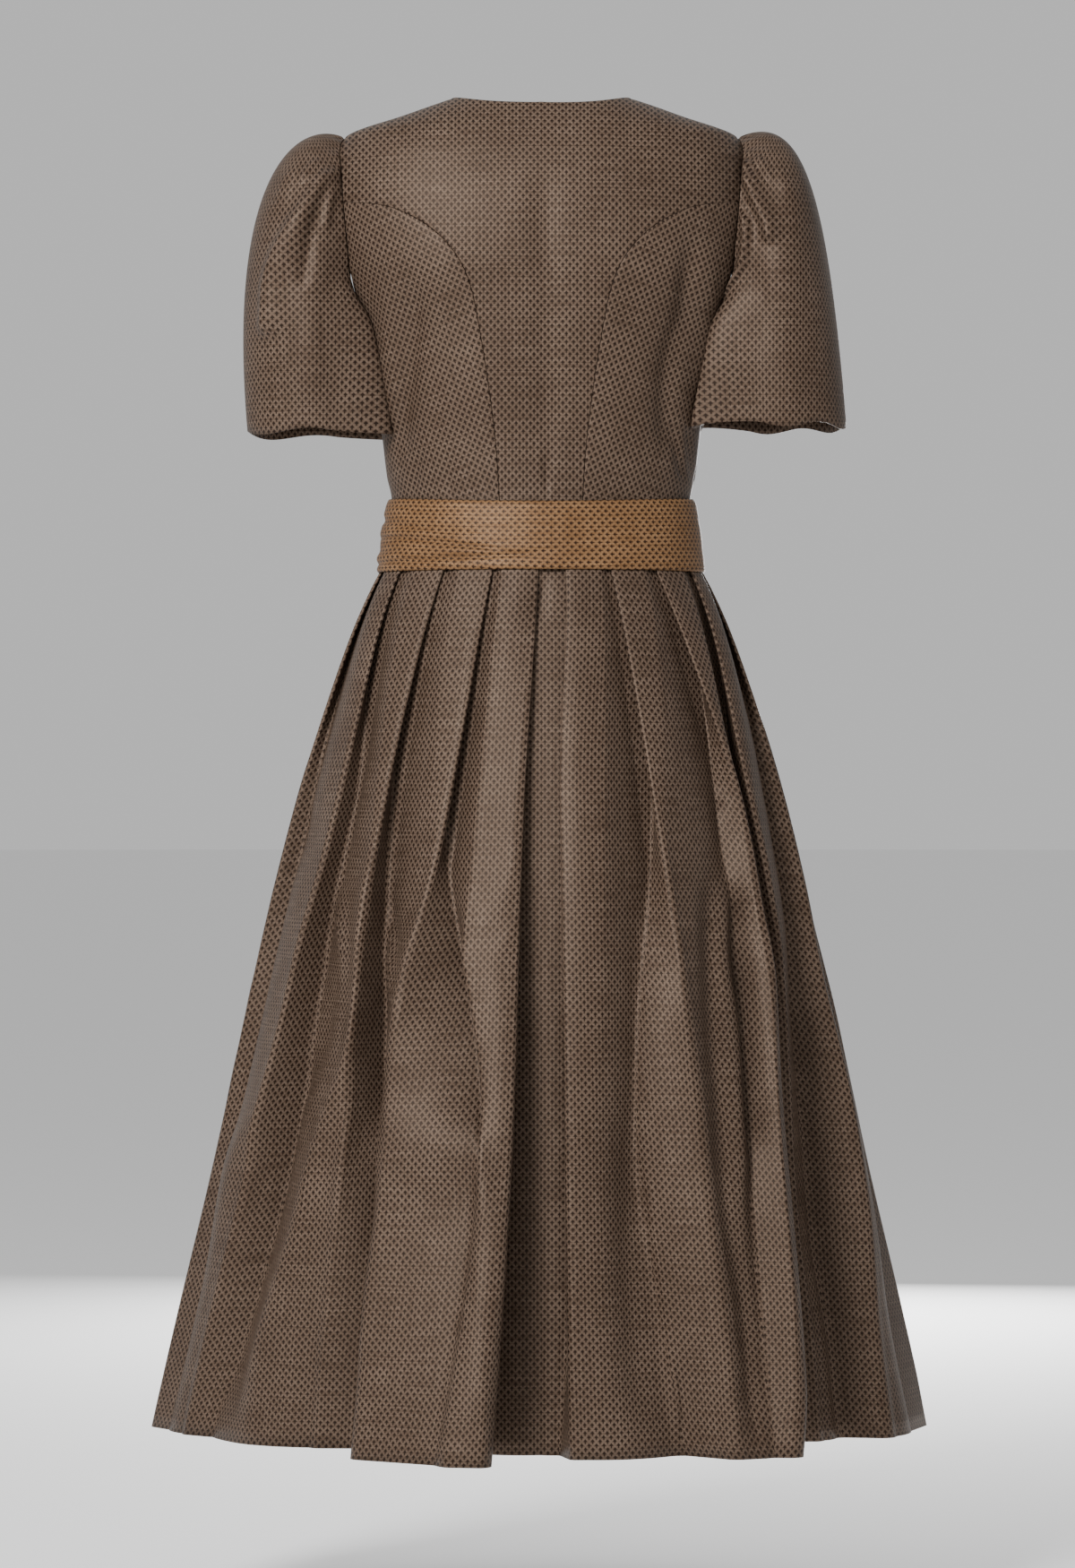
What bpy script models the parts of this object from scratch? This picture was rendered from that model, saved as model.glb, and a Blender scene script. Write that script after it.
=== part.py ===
"""Dirndl: a short-sleeved folk dress with a fitted princess-seam bodice, gathered
puff sleeves, a pleated mid-calf skirt and a cloth belt tied at the front left.

The dress keeps the hollow shape it has when worn. Every cut piece is a thin wall of
its own, parted from its neighbours by a seam gap.

Tables and sizes are in millimetres. Heights are measured down from the high shoulder
points, the two places where the neckline meets the shoulder seams. +X is the wearer's
left and +Y the wearer's back.
"""

import math
from collections import namedtuple

import bmesh
import bpy
import numpy as np

# ---------------------------------------------------------------- driving sizes (mm)
MM = 0.001
ORIGIN_DROP = 18.0          # the origin lies this far below the high shoulder points
WALL = 1.2                  # thickness of the dress cloth
SEAM_GAP = 0.5              # between two sewn pieces

WAIST = -400.0
HEM = -1215.0
NECK_HALF_WIDTH = 82.0
BACK_NECK_DROP = -9.6
FRONT_NECK_DROP = -128.0
SHOULDER_DROP = -36.0
UNDERARM = -205.0
ARMHOLE_BACK_DEPTH = 50.0
ARMHOLE_FRONT_DEPTH = 54.0
BACK_SEAM_TURN = 74.6       # where the princess seams leave the armhole, in degrees
FRONT_SEAM_TURN = 92.0      # measured round it from the shoulder seam

LEFT, RIGHT = 1, -1
BACK, FRONT = 1, -1

# Rings of the worn bodice. power 2 is an ellipse, more is squarer.
Ring = namedtuple("Ring", "height half_width back_depth front_depth power")
TORSO_RINGS = (
    Ring(0.0, 82.0, 62.0, 40.0, 2.4),
    Ring(-16.0, 127.0, 74.0, 50.0, 2.4),
    Ring(-36.0, 180.0, 84.0, 62.0, 2.4),
    Ring(-56.0, 190.0, 92.0, 76.0, 2.4),
    Ring(-100.0, 194.0, 102.0, 98.0, 2.4),
    Ring(-155.0, 186.0, 105.0, 117.0, 2.4),
    Ring(-180.0, 175.0, 103.0, 124.0, 2.4),
    Ring(-205.0, 163.0, 101.0, 129.0, 2.35),
    Ring(-250.0, 155.5, 96.0, 133.0, 2.3),
    Ring(-305.0, 146.0, 89.0, 120.0, 2.15),
    Ring(-345.0, 141.2, 86.0, 104.0, 2.05),
    Ring(-366.0, 137.2, 84.8, 98.0, 2.0),
    Ring(-400.0, 139.0, 87.0, 98.5, 2.0),
)

# Princess seams from the armhole down to the waist.
SeamPoint = namedtuple("SeamPoint", "out height")
BACK_SEAM = (
    SeamPoint(143.0, -104.0),
    SeamPoint(114.0, -116.0),
    SeamPoint(91.0, -133.0),
    SeamPoint(73.0, -156.0),
    SeamPoint(63.0, -180.0),
    SeamPoint(55.0, -220.0),
    SeamPoint(47.0, -270.0),
    SeamPoint(40.0, -330.0),
    SeamPoint(36.0, -400.0),
)
FRONT_SEAM = (
    SeamPoint(140.0, -150.0),
    SeamPoint(113.0, -180.0),
    SeamPoint(97.0, -215.0),
    SeamPoint(89.0, -250.0),
    SeamPoint(78.0, -300.0),
    SeamPoint(66.0, -350.0),
    SeamPoint(58.0, -400.0),
)

# Sleeves: the hem ring, and at the shoulder how far the puff leaves the cap seam outwards
# and upwards, and how it comes down to the hem: from how far out and from how high.
Sleeve = namedtuple(
    "Sleeve",
    "side hem_middle hem_half_width hem_half_depth hem_height cap_out cap_rise hem_out hem_lift",
)
SLEEVES = {
    "sleeve_left": Sleeve(LEFT, 208.4, 60.4, 58.0, -306.0, 35.7, 20.5, 21.4, 246.5),
    "sleeve_right": Sleeve(RIGHT, 215.8, 63.8, 58.0, -300.0, 59.2, 31.6, -17.4, 212.3),
}
# Soft troughs of a sleeve: where each starts on the armhole and ends on the hem, in
# degrees from the shoulder round the back, its depth at the cap and at the hem, its
# width in degrees, and how far down the sleeve it reaches.
SleeveFold = namedtuple("SleeveFold", "cap_turn hem_turn cap_depth hem_depth width reach")
SLEEVE_FOLDS = (
    SleeveFold(24.0, 26.0, 3.0, 0.0, 9.0, 0.55),
    SleeveFold(48.0, 56.0, 8.0, 1.0, 10.0, 1.0),
    SleeveFold(80.0, 112.0, 4.0, 2.0, 12.0, 1.0),
    SleeveFold(-24.0, -26.0, 3.0, 0.0, 9.0, 0.6),
    SleeveFold(-44.0, -50.0, 6.0, 2.0, 10.0, 1.0),
    SleeveFold(-60.0, -82.0, 6.0, 3.0, 12.0, 1.0),
    SleeveFold(-88.0, -120.0, 4.0, 2.0, 12.0, 1.0),
)
HEM_WAVES = 5
HEM_WAVE_RISE = 2.2
# Under the arm the sleeve lies along the bodice's side.
UNDERARM_REST = 1.2          # between them
UNDERARM_REACH = 34.0        # fades out this many degrees round from the arm pit
UNDERARM_START = 0.15        # share of the sleeve's length over which it settles

# Skirt: the outline that its outer fold edges keep, as half ellipses back and front.
Outline = namedtuple("Outline", "height half_width back_depth front_depth")
SKIRT_OUTLINE = (
    Outline(-400.0, 143.4, 92.0, 100.0),
    Outline(-432.0, 147.2, 97.0, 104.0),
    Outline(-442.0, 152.5, 101.0, 108.0),
    Outline(-482.0, 170.5, 116.0, 124.0),
    Outline(-532.0, 188.5, 134.0, 140.0),
    Outline(-630.0, 219.5, 165.0, 166.0),
    Outline(-728.0, 245.5, 195.0, 190.0),
    Outline(-851.0, 273.5, 228.0, 218.0),
    Outline(-975.0, 299.5, 258.0, 246.0),
    Outline(-1098.0, 328.5, 288.0, 272.0),
    Outline(-1215.0, 356.0, 316.0, 296.0),
)
# The four heights for which the pleat tables give a value.
PLEAT_HEIGHTS = (-436.0, -640.0, -920.0, -1215.0)
# Each pleat, from the centre back round to the centre front. edge is the outer fold
# line and turn the hidden inner fold line, in degrees round the outline at the four
# heights. edge_in and turn_in are how far each lies inside the outline there.
Pleat = namedtuple("Pleat", "edge edge_in turn turn_in roll")
LEFT_PLEATS = (
    Pleat((1.5, 4.4, 6.0, 9.2), (0, 0, 0, 3), (12, 13, 14, 16.5), (3.9, 20, 62, 115), 12),
    Pleat((17.7, 21.8, 28.6, 29.0), (0, 0, 3, 28), (29, 24, 12, 17), (3.9, 16, 23, 18), 14),
    Pleat((37.3, 39.2, 38.5, 46.0), (0, 0, 10, 80), (49, 40, 34, 26), (3.9, 20, 45, 127), 14),
    Pleat((60.9, 54.7, 61.0, 79.5), (0, 0, 2, 25), (72, 54, 57, 72.5), (3.9, 20, 28, 46), 12),
    Pleat((84.0, 83.0, 87.0, 92.0), (0, 0, 0, 0), (96, 82, 82, 86), (3.9, 13, 20, 17), 11),
    Pleat((107.0, 106.0, 108.0, 110.0), (0, 0, 0, 8), (119, 104, 101, 101), (3.9, 18, 38, 60), 15),
    Pleat((130.0, 129.0, 128.0, 128.0), (0, 0, 4, 18), (142, 125, 119, 119), (3.9, 16, 34, 62), 15),
    Pleat((153.0, 153.0, 151.0, 149.0), (0, 0, 0, 6), (164, 149, 142, 139), (3.9, 20, 50, 88), 18),
)
RIGHT_PLEATS = (
    Pleat((9.1, 4.8, 5.2, 6.0), (0, 0, 18, 63), (19, 13, 8, 2.5), (3.9, 18, 54, 99), 8),
    Pleat((25.6, 27.2, 29.5, 32.4), (0, 0, 4, 22), (37, 28, 19, 24), (3.9, 18, 36, 75), 18),
    Pleat((45.5, 52.8, 46.5, 40.0), (0, 0, 0, 10), (58, 50, 42, 36.7), (3.9, 22, 24, 20), 10),
    Pleat((68.4, 59.5, 63.0, 62.5), (0, 3, 30, 75), (79, 60, 54, 44), (3.9, 26, 62, 150), 12),
    Pleat((91.5, 82.0, 76.5, 74.5), (0, 0, 3, 24), (103, 78, 71, 68.5), (3.9, 16, 36, 72), 14),
    Pleat((113.0, 106.0, 100.0, 94.0), (0, 0, 0, 3), (125, 102, 92, 84), (3.9, 14, 20, 18), 14),
    Pleat((134.0, 130.0, 127.0, 122.0), (0, 0, 2, 12), (146, 126, 117, 110), (3.9, 18, 42, 72), 18),
    Pleat((155.0, 154.0, 150.0, 148.0), (0, 0, 0, 2), (166, 150, 140, 138), (3.9, 16, 42, 78), 18),
)
CENTRE_BACK_IN = (3.9, 17.0, 54.0, 101.0)    # floor of the inverted pleat, inside the outline
CENTRE_FRONT_IN = (0.0, 0.0, 6.0, 14.0)       # the panel between the last pleats, likewise
PRESSED_ROLL = 0.95                           # radius of a pressed fold at the waist
ROLL_SHARE = (0.0, 0.09, 0.42, 1.0)           # of each pleat's own roll, at the heights
PANEL_SWELL = (0.0, 0.03, 0.05, 0.07)         # how far a panel bows out, by its width
FOLD_FLAT = (0.0, 1.0, 4.0, 8.0)              # flat top of an open fold
EDGE_LAP = 2.0                                # how far a panel goes in under an edge,
LAP_BY_ROLL = 2.6                             # with this share of the edge's roll
LEAST_STEP = 1.0                              # between two round folds of a pleat
LARGEST_LAP_ROLL = 3.0                        # a rounder fold than this adds no lap
SIDE_SEAM_PLEAT = 4                           # the side seam lies just past this pleat
SKIRT_ROWS = (-400.0, -434.0, -468.0, -512.0, -572.0, -640.0, -722.0, -816.0,
              -920.0, -1022.0, -1120.0, -1215.0)

# Belt: a folded sash round the waist seam, with a knot and two ends at the front left.
BELT_WALL = 1.5
BELT_RINGS = (
    Outline(-366.0, 141.0, 90.0, 103.0),
    Outline(-378.0, 143.6, 92.5, 103.6),
    Outline(-400.0, 146.8, 96.0, 104.2),
    Outline(-420.0, 149.0, 98.6, 106.6),
    Outline(-433.0, 150.4, 100.6, 107.8),
)
BELT_BACK_SAG = 5.0          # the upper edge lies lower at the centre back
BELT_COLUMNS = 56
KNOT_TURN = 131.0
KNOT_HALF_SIZE = (17.0, 13.0, 25.0)
KNOT_SINK = 0.45             # share of its half depth by which the knot sits into the band
KNOT_LEAST_LIFT = 0.5        # its flat underside stays this far off the band
KNOT_ROUND_STEP = 2.1        # distance round the waist for a degree of turn
BeltEnd = namedtuple("BeltEnd", "turn lean length top_width width lift")
BELT_ENDS = {
    "belt_end_upper": BeltEnd(127.0, -5.0, 236.0, 30.0, 60.0, 7.6),
    "belt_end_lower": BeltEnd(137.0, 5.0, 274.0, 30.0, 60.0, 4.2),
}
BELT_END_TOP = -436.0
BELT_END_GRID = (8, 5)       # rows and columns of faces
BELT_END_OPENS = 3.0         # an end reaches its full width at one part in this of its length

# ---------------------------------------------------------------- materials
Finish = namedtuple("Finish", "colour roughness")
DRESS_CLOTH = Finish((0.115, 0.082, 0.060), 0.72)
BELT_CLOTH = Finish((0.290, 0.160, 0.072), 0.68)


def make_material(name, finish):
    """One Principled material with a plain colour."""
    material = bpy.data.materials.new(name)
    material.use_nodes = True
    shader = material.node_tree.nodes["Principled BSDF"]
    shader.inputs["Base Color"].default_value = (*finish.colour, 1.0)
    shader.inputs["Roughness"].default_value = finish.roughness
    shader.inputs["Metallic"].default_value = 0.0
    return material


# ---------------------------------------------------------------- smooth tables
def smooth(value, knots, heights):
    """Read a table between its rows by a monotone cubic, flat beyond its ends."""
    knots = np.asarray(knots, float)
    heights = np.asarray(heights, float)
    if knots[0] > knots[-1]:
        knots, heights = knots[::-1], heights[::-1]
    step = np.diff(knots)
    rise = np.diff(heights) / step
    slope = np.zeros_like(knots)
    slope[0], slope[-1] = rise[0], rise[-1]
    same_way = rise[:-1] * rise[1:] > 0
    mean = 2.0 * rise[:-1] * rise[1:] / np.where(same_way, rise[:-1] + rise[1:], 1.0)
    slope[1:-1] = np.where(same_way, mean, 0.0)
    value = np.clip(np.asarray(value, float), knots[0], knots[-1])
    row = np.clip(np.searchsorted(knots, value) - 1, 0, len(step) - 1)
    t = (value - knots[row]) / step[row]
    ease = t * t * (3.0 - 2.0 * t)
    return (
        heights[row] * (1.0 - ease)
        + heights[row + 1] * ease
        + slope[row] * step[row] * t * (1.0 - t) ** 2
        - slope[row + 1] * step[row] * t * t * (1.0 - t)
    )


def column(table, name):
    """One named column of a table."""
    return [getattr(row, name) for row in table]


def read(table, name, height):
    """A named column of a table at any height."""
    return smooth(height, column(table, "height"), column(table, name))


def spread(points, count, solid=None):
    """Place count + 1 points evenly along a line, by its length in space if given."""
    points = np.asarray(points, float)
    along = lengths_along(points if solid is None else solid)
    wanted = np.linspace(0.0, along[-1], count + 1)
    return np.stack([smooth(wanted, along, points[:, axis]) for axis in range(points.shape[1])], axis=1)


# ---------------------------------------------------------------- bodice surface
def torso_depth(height, face):
    """Depth of the bodice at a height, on the back or the front."""
    return read(TORSO_RINGS, "back_depth" if face == BACK else "front_depth", height)


def torso_from_out(out, height, face):
    """The bodice surface at a distance out from the centre line."""
    width = read(TORSO_RINGS, "half_width", height)
    power = read(TORSO_RINGS, "power", height)
    share = np.clip(1.0 - (np.abs(out) / width) ** power, 0.0, 1.0)
    depth = face * torso_depth(height, face) * share ** (1.0 / power)
    return np.stack([out, depth, height], axis=-1)


def torso_from_turn(turn, height, face):
    """The bodice surface at a turn from the centre line, 90 degrees at the side."""
    width = read(TORSO_RINGS, "half_width", height)
    power = read(TORSO_RINGS, "power", height)
    angle = np.radians(np.clip(turn, 0.0, 90.0))
    out = width * np.sin(angle) ** (2.0 / power)
    depth = face * torso_depth(height, face) * np.abs(np.cos(angle)) ** (2.0 / power)
    return np.stack([out, depth, height], axis=-1)


def turn_from_out(out, height):
    """The turn at which the bodice surface is a distance out from the centre line."""
    width = read(TORSO_RINGS, "half_width", height)
    power = read(TORSO_RINGS, "power", height)
    return np.degrees(np.arcsin(np.clip((out / width) ** (power / 2.0), 0.0, 1.0)))


def torso_out(depth, height):
    """How far out the bodice surface lies at a depth, plus towards the back."""
    limit = np.where(depth >= 0.0, torso_depth(height, BACK), torso_depth(height, FRONT))
    power = read(TORSO_RINGS, "power", height)
    share = np.clip(1.0 - (np.abs(depth) / limit) ** power, 0.0, 1.0)
    return read(TORSO_RINGS, "half_width", height) * share ** (1.0 / power)


def armhole(turn):
    """The armhole seam at a turn in degrees: 0 the shoulder, 90 the back, 180 the arm pit."""
    angle = np.radians(np.asarray(turn, float))
    middle = (SHOULDER_DROP + UNDERARM) / 2.0
    half = (SHOULDER_DROP - UNDERARM) / 2.0
    height = middle + half * np.cos(angle)
    depth = np.where(np.sin(angle) >= 0.0, ARMHOLE_BACK_DEPTH, ARMHOLE_FRONT_DEPTH) * np.sin(angle)
    return np.stack([torso_out(depth, height), depth, height], axis=-1)


ARMHOLE_TOP_SHARES = (0.0, 0.07, 0.2, 0.43, 0.7, 1.0)   # from the shoulder to the princess seam
ARMHOLE_LOW_PARTS = 5        # from the princess seam to the arm pit
NECK_PARTS = {BACK: 4, FRONT: 8}
NECK_ROUNDNESS = {BACK: 3.0, FRONT: 2.35}
SHOULDER_PARTS = 4
PRINCESS_PARTS = 9


def armhole_turns(face):
    """Turns of the points that panels and sleeve share, from shoulder to arm pit."""
    seam_turn = BACK_SEAM_TURN if face == BACK else FRONT_SEAM_TURN
    top = seam_turn * np.array(ARMHOLE_TOP_SHARES)
    low = np.linspace(seam_turn, 180.0, ARMHOLE_LOW_PARTS + 1)
    return face * top, face * low


def princess_line(face):
    """Points of a princess seam, out and height, from the armhole to the waist."""
    start = armhole(face * (BACK_SEAM_TURN if face == BACK else FRONT_SEAM_TURN))
    table = BACK_SEAM if face == BACK else FRONT_SEAM
    points = [(start[0], start[2])] + [(point.out, point.height) for point in table]
    return spread(points, PRINCESS_PARTS)


def neckline(face):
    """The neck edge from the centre to the high shoulder point, out and height."""
    drop = BACK_NECK_DROP if face == BACK else FRONT_NECK_DROP
    share = 1.0 - np.linspace(1.0, 0.0, 80) ** 2
    fine = np.stack([NECK_HALF_WIDTH * share, drop * (1.0 - share ** NECK_ROUNDNESS[face])], axis=1)
    solid = torso_from_out(fine[:, 0], fine[:, 1], face)
    return spread(fine, NECK_PARTS[face], solid)


def shoulder_line():
    """The shoulder seam from the neck to the sleeve, out and height."""
    heights = np.linspace(0.0, SHOULDER_DROP, SHOULDER_PARTS + 1)
    return np.stack([read(TORSO_RINGS, "half_width", heights), heights], axis=1)


def lengths_along(points):
    """Distance along a line of points to each of them."""
    steps = np.linalg.norm(np.diff(points, axis=0), axis=1)
    return np.concatenate([[0.0], np.cumsum(steps)])


def coons(top, bottom, inner, outer):
    """Fill a patch between four edge lines that share their corners."""
    down = lengths_along(inner)[:, None, None]
    down = down / down[-1]
    across_top = lengths_along(top)[None, :, None]
    across_bottom = np.linspace(0.0, 1.0, len(top))[None, :, None]
    across = (1 - down) * across_top / across_top[:, -1:] + down * across_bottom
    ruled = (1 - down) * top[None] + down * bottom[None]
    ruled = ruled + (1 - across) * inner[:, None] + across * outer[:, None]
    corners = (1 - down) * ((1 - across) * top[0] + across * top[-1])
    corners = corners + down * ((1 - across) * bottom[0] + across * bottom[-1])
    return ruled - corners


def centre_panel(face):
    """Half of the centre back, or one centre front, from the centre line outwards."""
    top_turns, _ = armhole_turns(face)
    arm = armhole(top_turns)[:, [0, 2]]
    princess = princess_line(face)
    outer = np.concatenate([arm, princess[1:]])
    top = np.concatenate([neckline(face), shoulder_line()[1:]])
    lengths = lengths_along(torso_from_out(outer[:, 0], outer[:, 1], face))
    inner_height = top[0, 1] + (WAIST - top[0, 1]) * lengths / lengths[-1]
    inner = np.stack([np.zeros_like(inner_height), inner_height], axis=1)
    bottom = np.stack([np.linspace(0.0, princess[-1, 0], len(top)), np.full(len(top), WAIST)], axis=1)
    flat = coons(top, bottom, inner, outer)
    return torso_from_out(flat[..., 0], flat[..., 1], face)


def side_panel(face):
    """The panel between a princess seam and the side seam."""
    _, low_turns = armhole_turns(face)
    arm = armhole(low_turns)
    princess = princess_line(face)
    top = np.stack([turn_from_out(arm[:, 0], arm[:, 2]), arm[:, 2]], axis=1)
    inner = np.stack([turn_from_out(princess[:, 0], princess[:, 1]), princess[:, 1]], axis=1)
    side = np.stack([np.full(len(inner), 90.0), np.linspace(UNDERARM, WAIST, len(inner))], axis=1)
    bottom = np.stack([np.linspace(inner[-1, 0], 90.0, len(top)), np.full(len(top), WAIST)], axis=1)
    flat = coons(top, bottom, inner, side)
    return torso_from_turn(flat[..., 0], flat[..., 1], face)


# ---------------------------------------------------------------- sleeve surface
SLEEVE_ROWS = 9


def sleeve_turns():
    """Turns round the sleeve: the points of the armhole and one between each two."""
    back = np.concatenate([armhole_turns(BACK)[0], armhole_turns(BACK)[1][1:]])
    front = np.concatenate([armhole_turns(FRONT)[0], armhole_turns(FRONT)[1][1:]])
    ring = np.concatenate([back, 360.0 + front[::-1][1:-1]])
    following = np.append(ring[1:], 360.0)
    return np.stack([ring, (ring + following) / 2.0], axis=1).ravel()


def sleeve_ring(turns):
    """The armhole with straight stretches between its shared points."""
    ring = armhole(turns)
    ring[1::2] = (ring[0::2] + np.roll(ring[0::2], -1, axis=0)) / 2.0
    return ring


def bump(distance, width):
    """A soft rise of height 1 at distance 0 that fades out within the width."""
    return np.exp(-((distance / width) ** 2))


def sleeve_surface(sleeve, turns, ring, shares):
    """The sleeve as a grid: a row for each share of the way from armhole to hem."""
    angle = np.radians(turns)
    cosine, sine = np.cos(angle), np.sin(angle)
    hem = np.stack([
        sleeve.hem_middle + sleeve.hem_half_width * cosine,
        sleeve.hem_half_depth * sine,
        sleeve.hem_height + HEM_WAVE_RISE * np.sin(HEM_WAVES * angle + sleeve.side),
    ], axis=1)
    cap_handle = np.stack([
        1.0 + sleeve.cap_out * (1 + cosine) / 2 + 24.0 * sine ** 2,
        26.0 * sine,
        -8.0 + (sleeve.cap_rise + 36.0) / 2 * cosine + (sleeve.cap_rise - 20.0) / 2 * cosine ** 2,
    ], axis=1)
    hem_handle = np.stack([
        sleeve.hem_out * (1 + cosine) / 2 + 2.0 * (1 - cosine),
        8.0 * sine,
        118.0 + (sleeve.hem_lift - 43.0) / 2 * cosine + (sleeve.hem_lift - 193.0) / 2 * cosine ** 2,
    ], axis=1)
    t = np.asarray(shares)[:, None, None]
    grid = (
        (1 - t) ** 3 * ring[None]
        + 3 * (1 - t) ** 2 * t * (ring + cap_handle)[None]
        + 3 * (1 - t) * t ** 2 * (hem + hem_handle)[None]
        + t ** 3 * hem[None]
    )
    inward = np.stack([-cosine, -sine, np.zeros_like(sine)], axis=1)[None]
    grid = grid + inward * sleeve_fold_depth(turns, np.asarray(shares))[..., None]
    resting = bump(turns % 360.0 - 180.0, UNDERARM_REACH)[None] * np.clip(t[..., 0] / UNDERARM_START, 0.0, 1.0)
    bodice_side = torso_out(grid[..., 1], grid[..., 2]) + UNDERARM_REST
    grid[..., 0] += resting * (bodice_side - grid[..., 0])
    return grid


def sleeve_fold_depth(turns, shares):
    """How far the folds press the sleeve inwards, for every row and column."""
    total = np.zeros((len(shares), len(turns)))
    for fold in SLEEVE_FOLDS:
        centre = fold.cap_turn + (fold.hem_turn - fold.cap_turn) * shares
        apart = (turns[None] - centre[:, None] + 180.0) % 360.0 - 180.0
        depth = fold.cap_depth + (fold.hem_depth - fold.cap_depth) * shares
        start = np.clip(shares / 0.15, 0.0, 1.0)
        end = np.clip((fold.reach - shares) / 0.3, 0.0, 1.0) if fold.reach < 1.0 else 1.0
        total += (depth * start * end)[:, None] * bump(apart, fold.width)
    return total


# ---------------------------------------------------------------- skirt surface
Roller = namedtuple("Roller", "along into radius way")
CLOCKWISE, COUNTER = -1.0, 1.0
ARC_STEPS = 8
LEAST_SWING = 0.02           # an almost straight fold still gets this much arc
ROUND_STEPS = 181
LENGTH_PER_RADIAN = 60.0     # this much straight length gets as many points as a radian of bend
TURN_POINTS = 4              # points that a hidden turn and an outer edge get
EDGE_POINTS = 5
PANEL_PARTS = 3


def outline_points(table, turns, heights):
    """Points and outward directions of an outline, for each height and turn."""
    angle = np.radians(turns)
    width = read(table, "half_width", heights)[:, None]
    back = read(table, "back_depth", heights)[:, None]
    front = read(table, "front_depth", heights)[:, None]
    depth = np.where(np.cos(angle) >= 0.0, back, front)
    point = np.stack([width * np.sin(angle), depth * np.cos(angle)], axis=-1)
    normal = np.stack([depth * np.sin(angle), width * np.cos(angle)], axis=-1)
    return point, normal / np.linalg.norm(normal, axis=-1, keepdims=True)


def outline_lengths(height):
    """Turns from centre back to centre front and the distance round to each."""
    turns = np.linspace(0.0, 180.0, ROUND_STEPS)
    points, _ = outline_points(SKIRT_OUTLINE, turns[None], np.array([height]))
    return turns, lengths_along(points[0])


def pleat_value(values, height):
    """A pleat's value at a height, from its four."""
    return float(smooth(height, PLEAT_HEIGHTS, values))


def pleat_groups(pleats, height, turns, lengths):
    """Round folds that half the skirt runs over and under, from back to front.

    Each pleat gives two groups: the hidden turn, with the place where the cloth goes
    in under the edge, and the outer edge, with the place where its panel lets go of
    the turn below it.
    """
    def distance(values):
        return float(np.interp(pleat_value(values, height), turns, lengths))

    share = pleat_value(ROLL_SHARE, height)
    flat = pleat_value(FOLD_FLAT, height)
    rolls = [PRESSED_ROLL + (pleat.roll - PRESSED_ROLL) * share for pleat in pleats]
    edges = [distance(pleat.edge) for pleat in pleats]
    hidden_turns = [distance(pleat.turn) for pleat in pleats]
    entries = [
        min(turn - LEAST_STEP, edge - EDGE_LAP - LAP_BY_ROLL * min(roll, LARGEST_LAP_ROLL))
        for turn, edge, roll in zip(hidden_turns, edges, rolls)
    ]
    limits = entries[1:] + [lengths[-1]]
    groups = [[Roller(0.0, pleat_value(CENTRE_BACK_IN, height), 0.0, COUNTER)]]
    for number, pleat in enumerate(pleats):
        roll, edge, turn = rolls[number], edges[number], hidden_turns[number]
        turn_in = pleat_value(pleat.turn_in, height) - roll
        edge_in = pleat_value(pleat.edge_in, height) + roll
        past_turn = turn + 2.0 * min(roll, LARGEST_LAP_ROLL) + EDGE_LAP
        release = min(max(edge + LEAST_STEP + flat, past_turn), limits[number] - 2.0 * roll)
        release = max(edge + LEAST_STEP, release)
        hidden = [Roller(turn, turn_in, roll, COUNTER)]
        if number > 0 and turn_in > groups[-1][-1].into:
            hidden.insert(0, Roller(entries[number], turn_in, roll, COUNTER))
        outer = [Roller(edge, edge_in, roll, CLOCKWISE)]
        if edge_in < turn_in + 2.0 * roll:
            outer.append(Roller(release, edge_in, roll, CLOCKWISE))
        groups += [hidden, outer]
    groups.append([Roller(lengths[-1], pleat_value(CENTRE_FRONT_IN, height), 0.0, CLOCKWISE)])
    return groups


def heading(first, second):
    """Direction of the line that runs off one roller and onto the next."""
    ahead = second.along - first.along
    rise = first.into - second.into
    reach = math.hypot(ahead, rise)
    sideways = second.way * second.radius - first.way * first.radius
    lean = math.asin(max(-0.999, min(0.999, sideways / reach)))
    return math.atan2(rise, ahead) - lean


def on_roller(roller, direction):
    """The point of a roller at which a line in a direction touches it."""
    return (
        roller.along + roller.way * roller.radius * math.sin(direction),
        -roller.into - roller.way * roller.radius * math.cos(direction),
    )


def arc_points(roller, before, after):
    """Points round a roller from one direction to another, the way the cloth turns."""
    swing = ((after - before) * roller.way + math.pi / 2) % (2 * math.pi) - math.pi / 2
    middle = before + roller.way * swing / 2.0
    swing = max(swing, LEAST_SWING)
    shares = np.linspace(-0.5, 0.5, ARC_STEPS)
    return [on_roller(roller, middle + roller.way * swing * share) for share in shares]


def by_bend(points, count):
    """Choose count points of a line so that they follow its bends evenly."""
    points = np.asarray(points)
    steps = np.diff(points, axis=0)
    direction = np.unwrap(np.arctan2(steps[:, 1], steps[:, 0]))
    bend = np.zeros(len(points))
    bend[1:-1] = np.abs(np.diff(direction))
    weight = np.cumsum(bend) + lengths_along(points) / LENGTH_PER_RADIAN + np.linspace(0.0, 0.01, len(points))
    wanted = np.linspace(weight[0], weight[-1], count)
    return np.stack([np.interp(wanted, weight, points[:, axis]) for axis in (0, 1)], axis=1)


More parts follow.
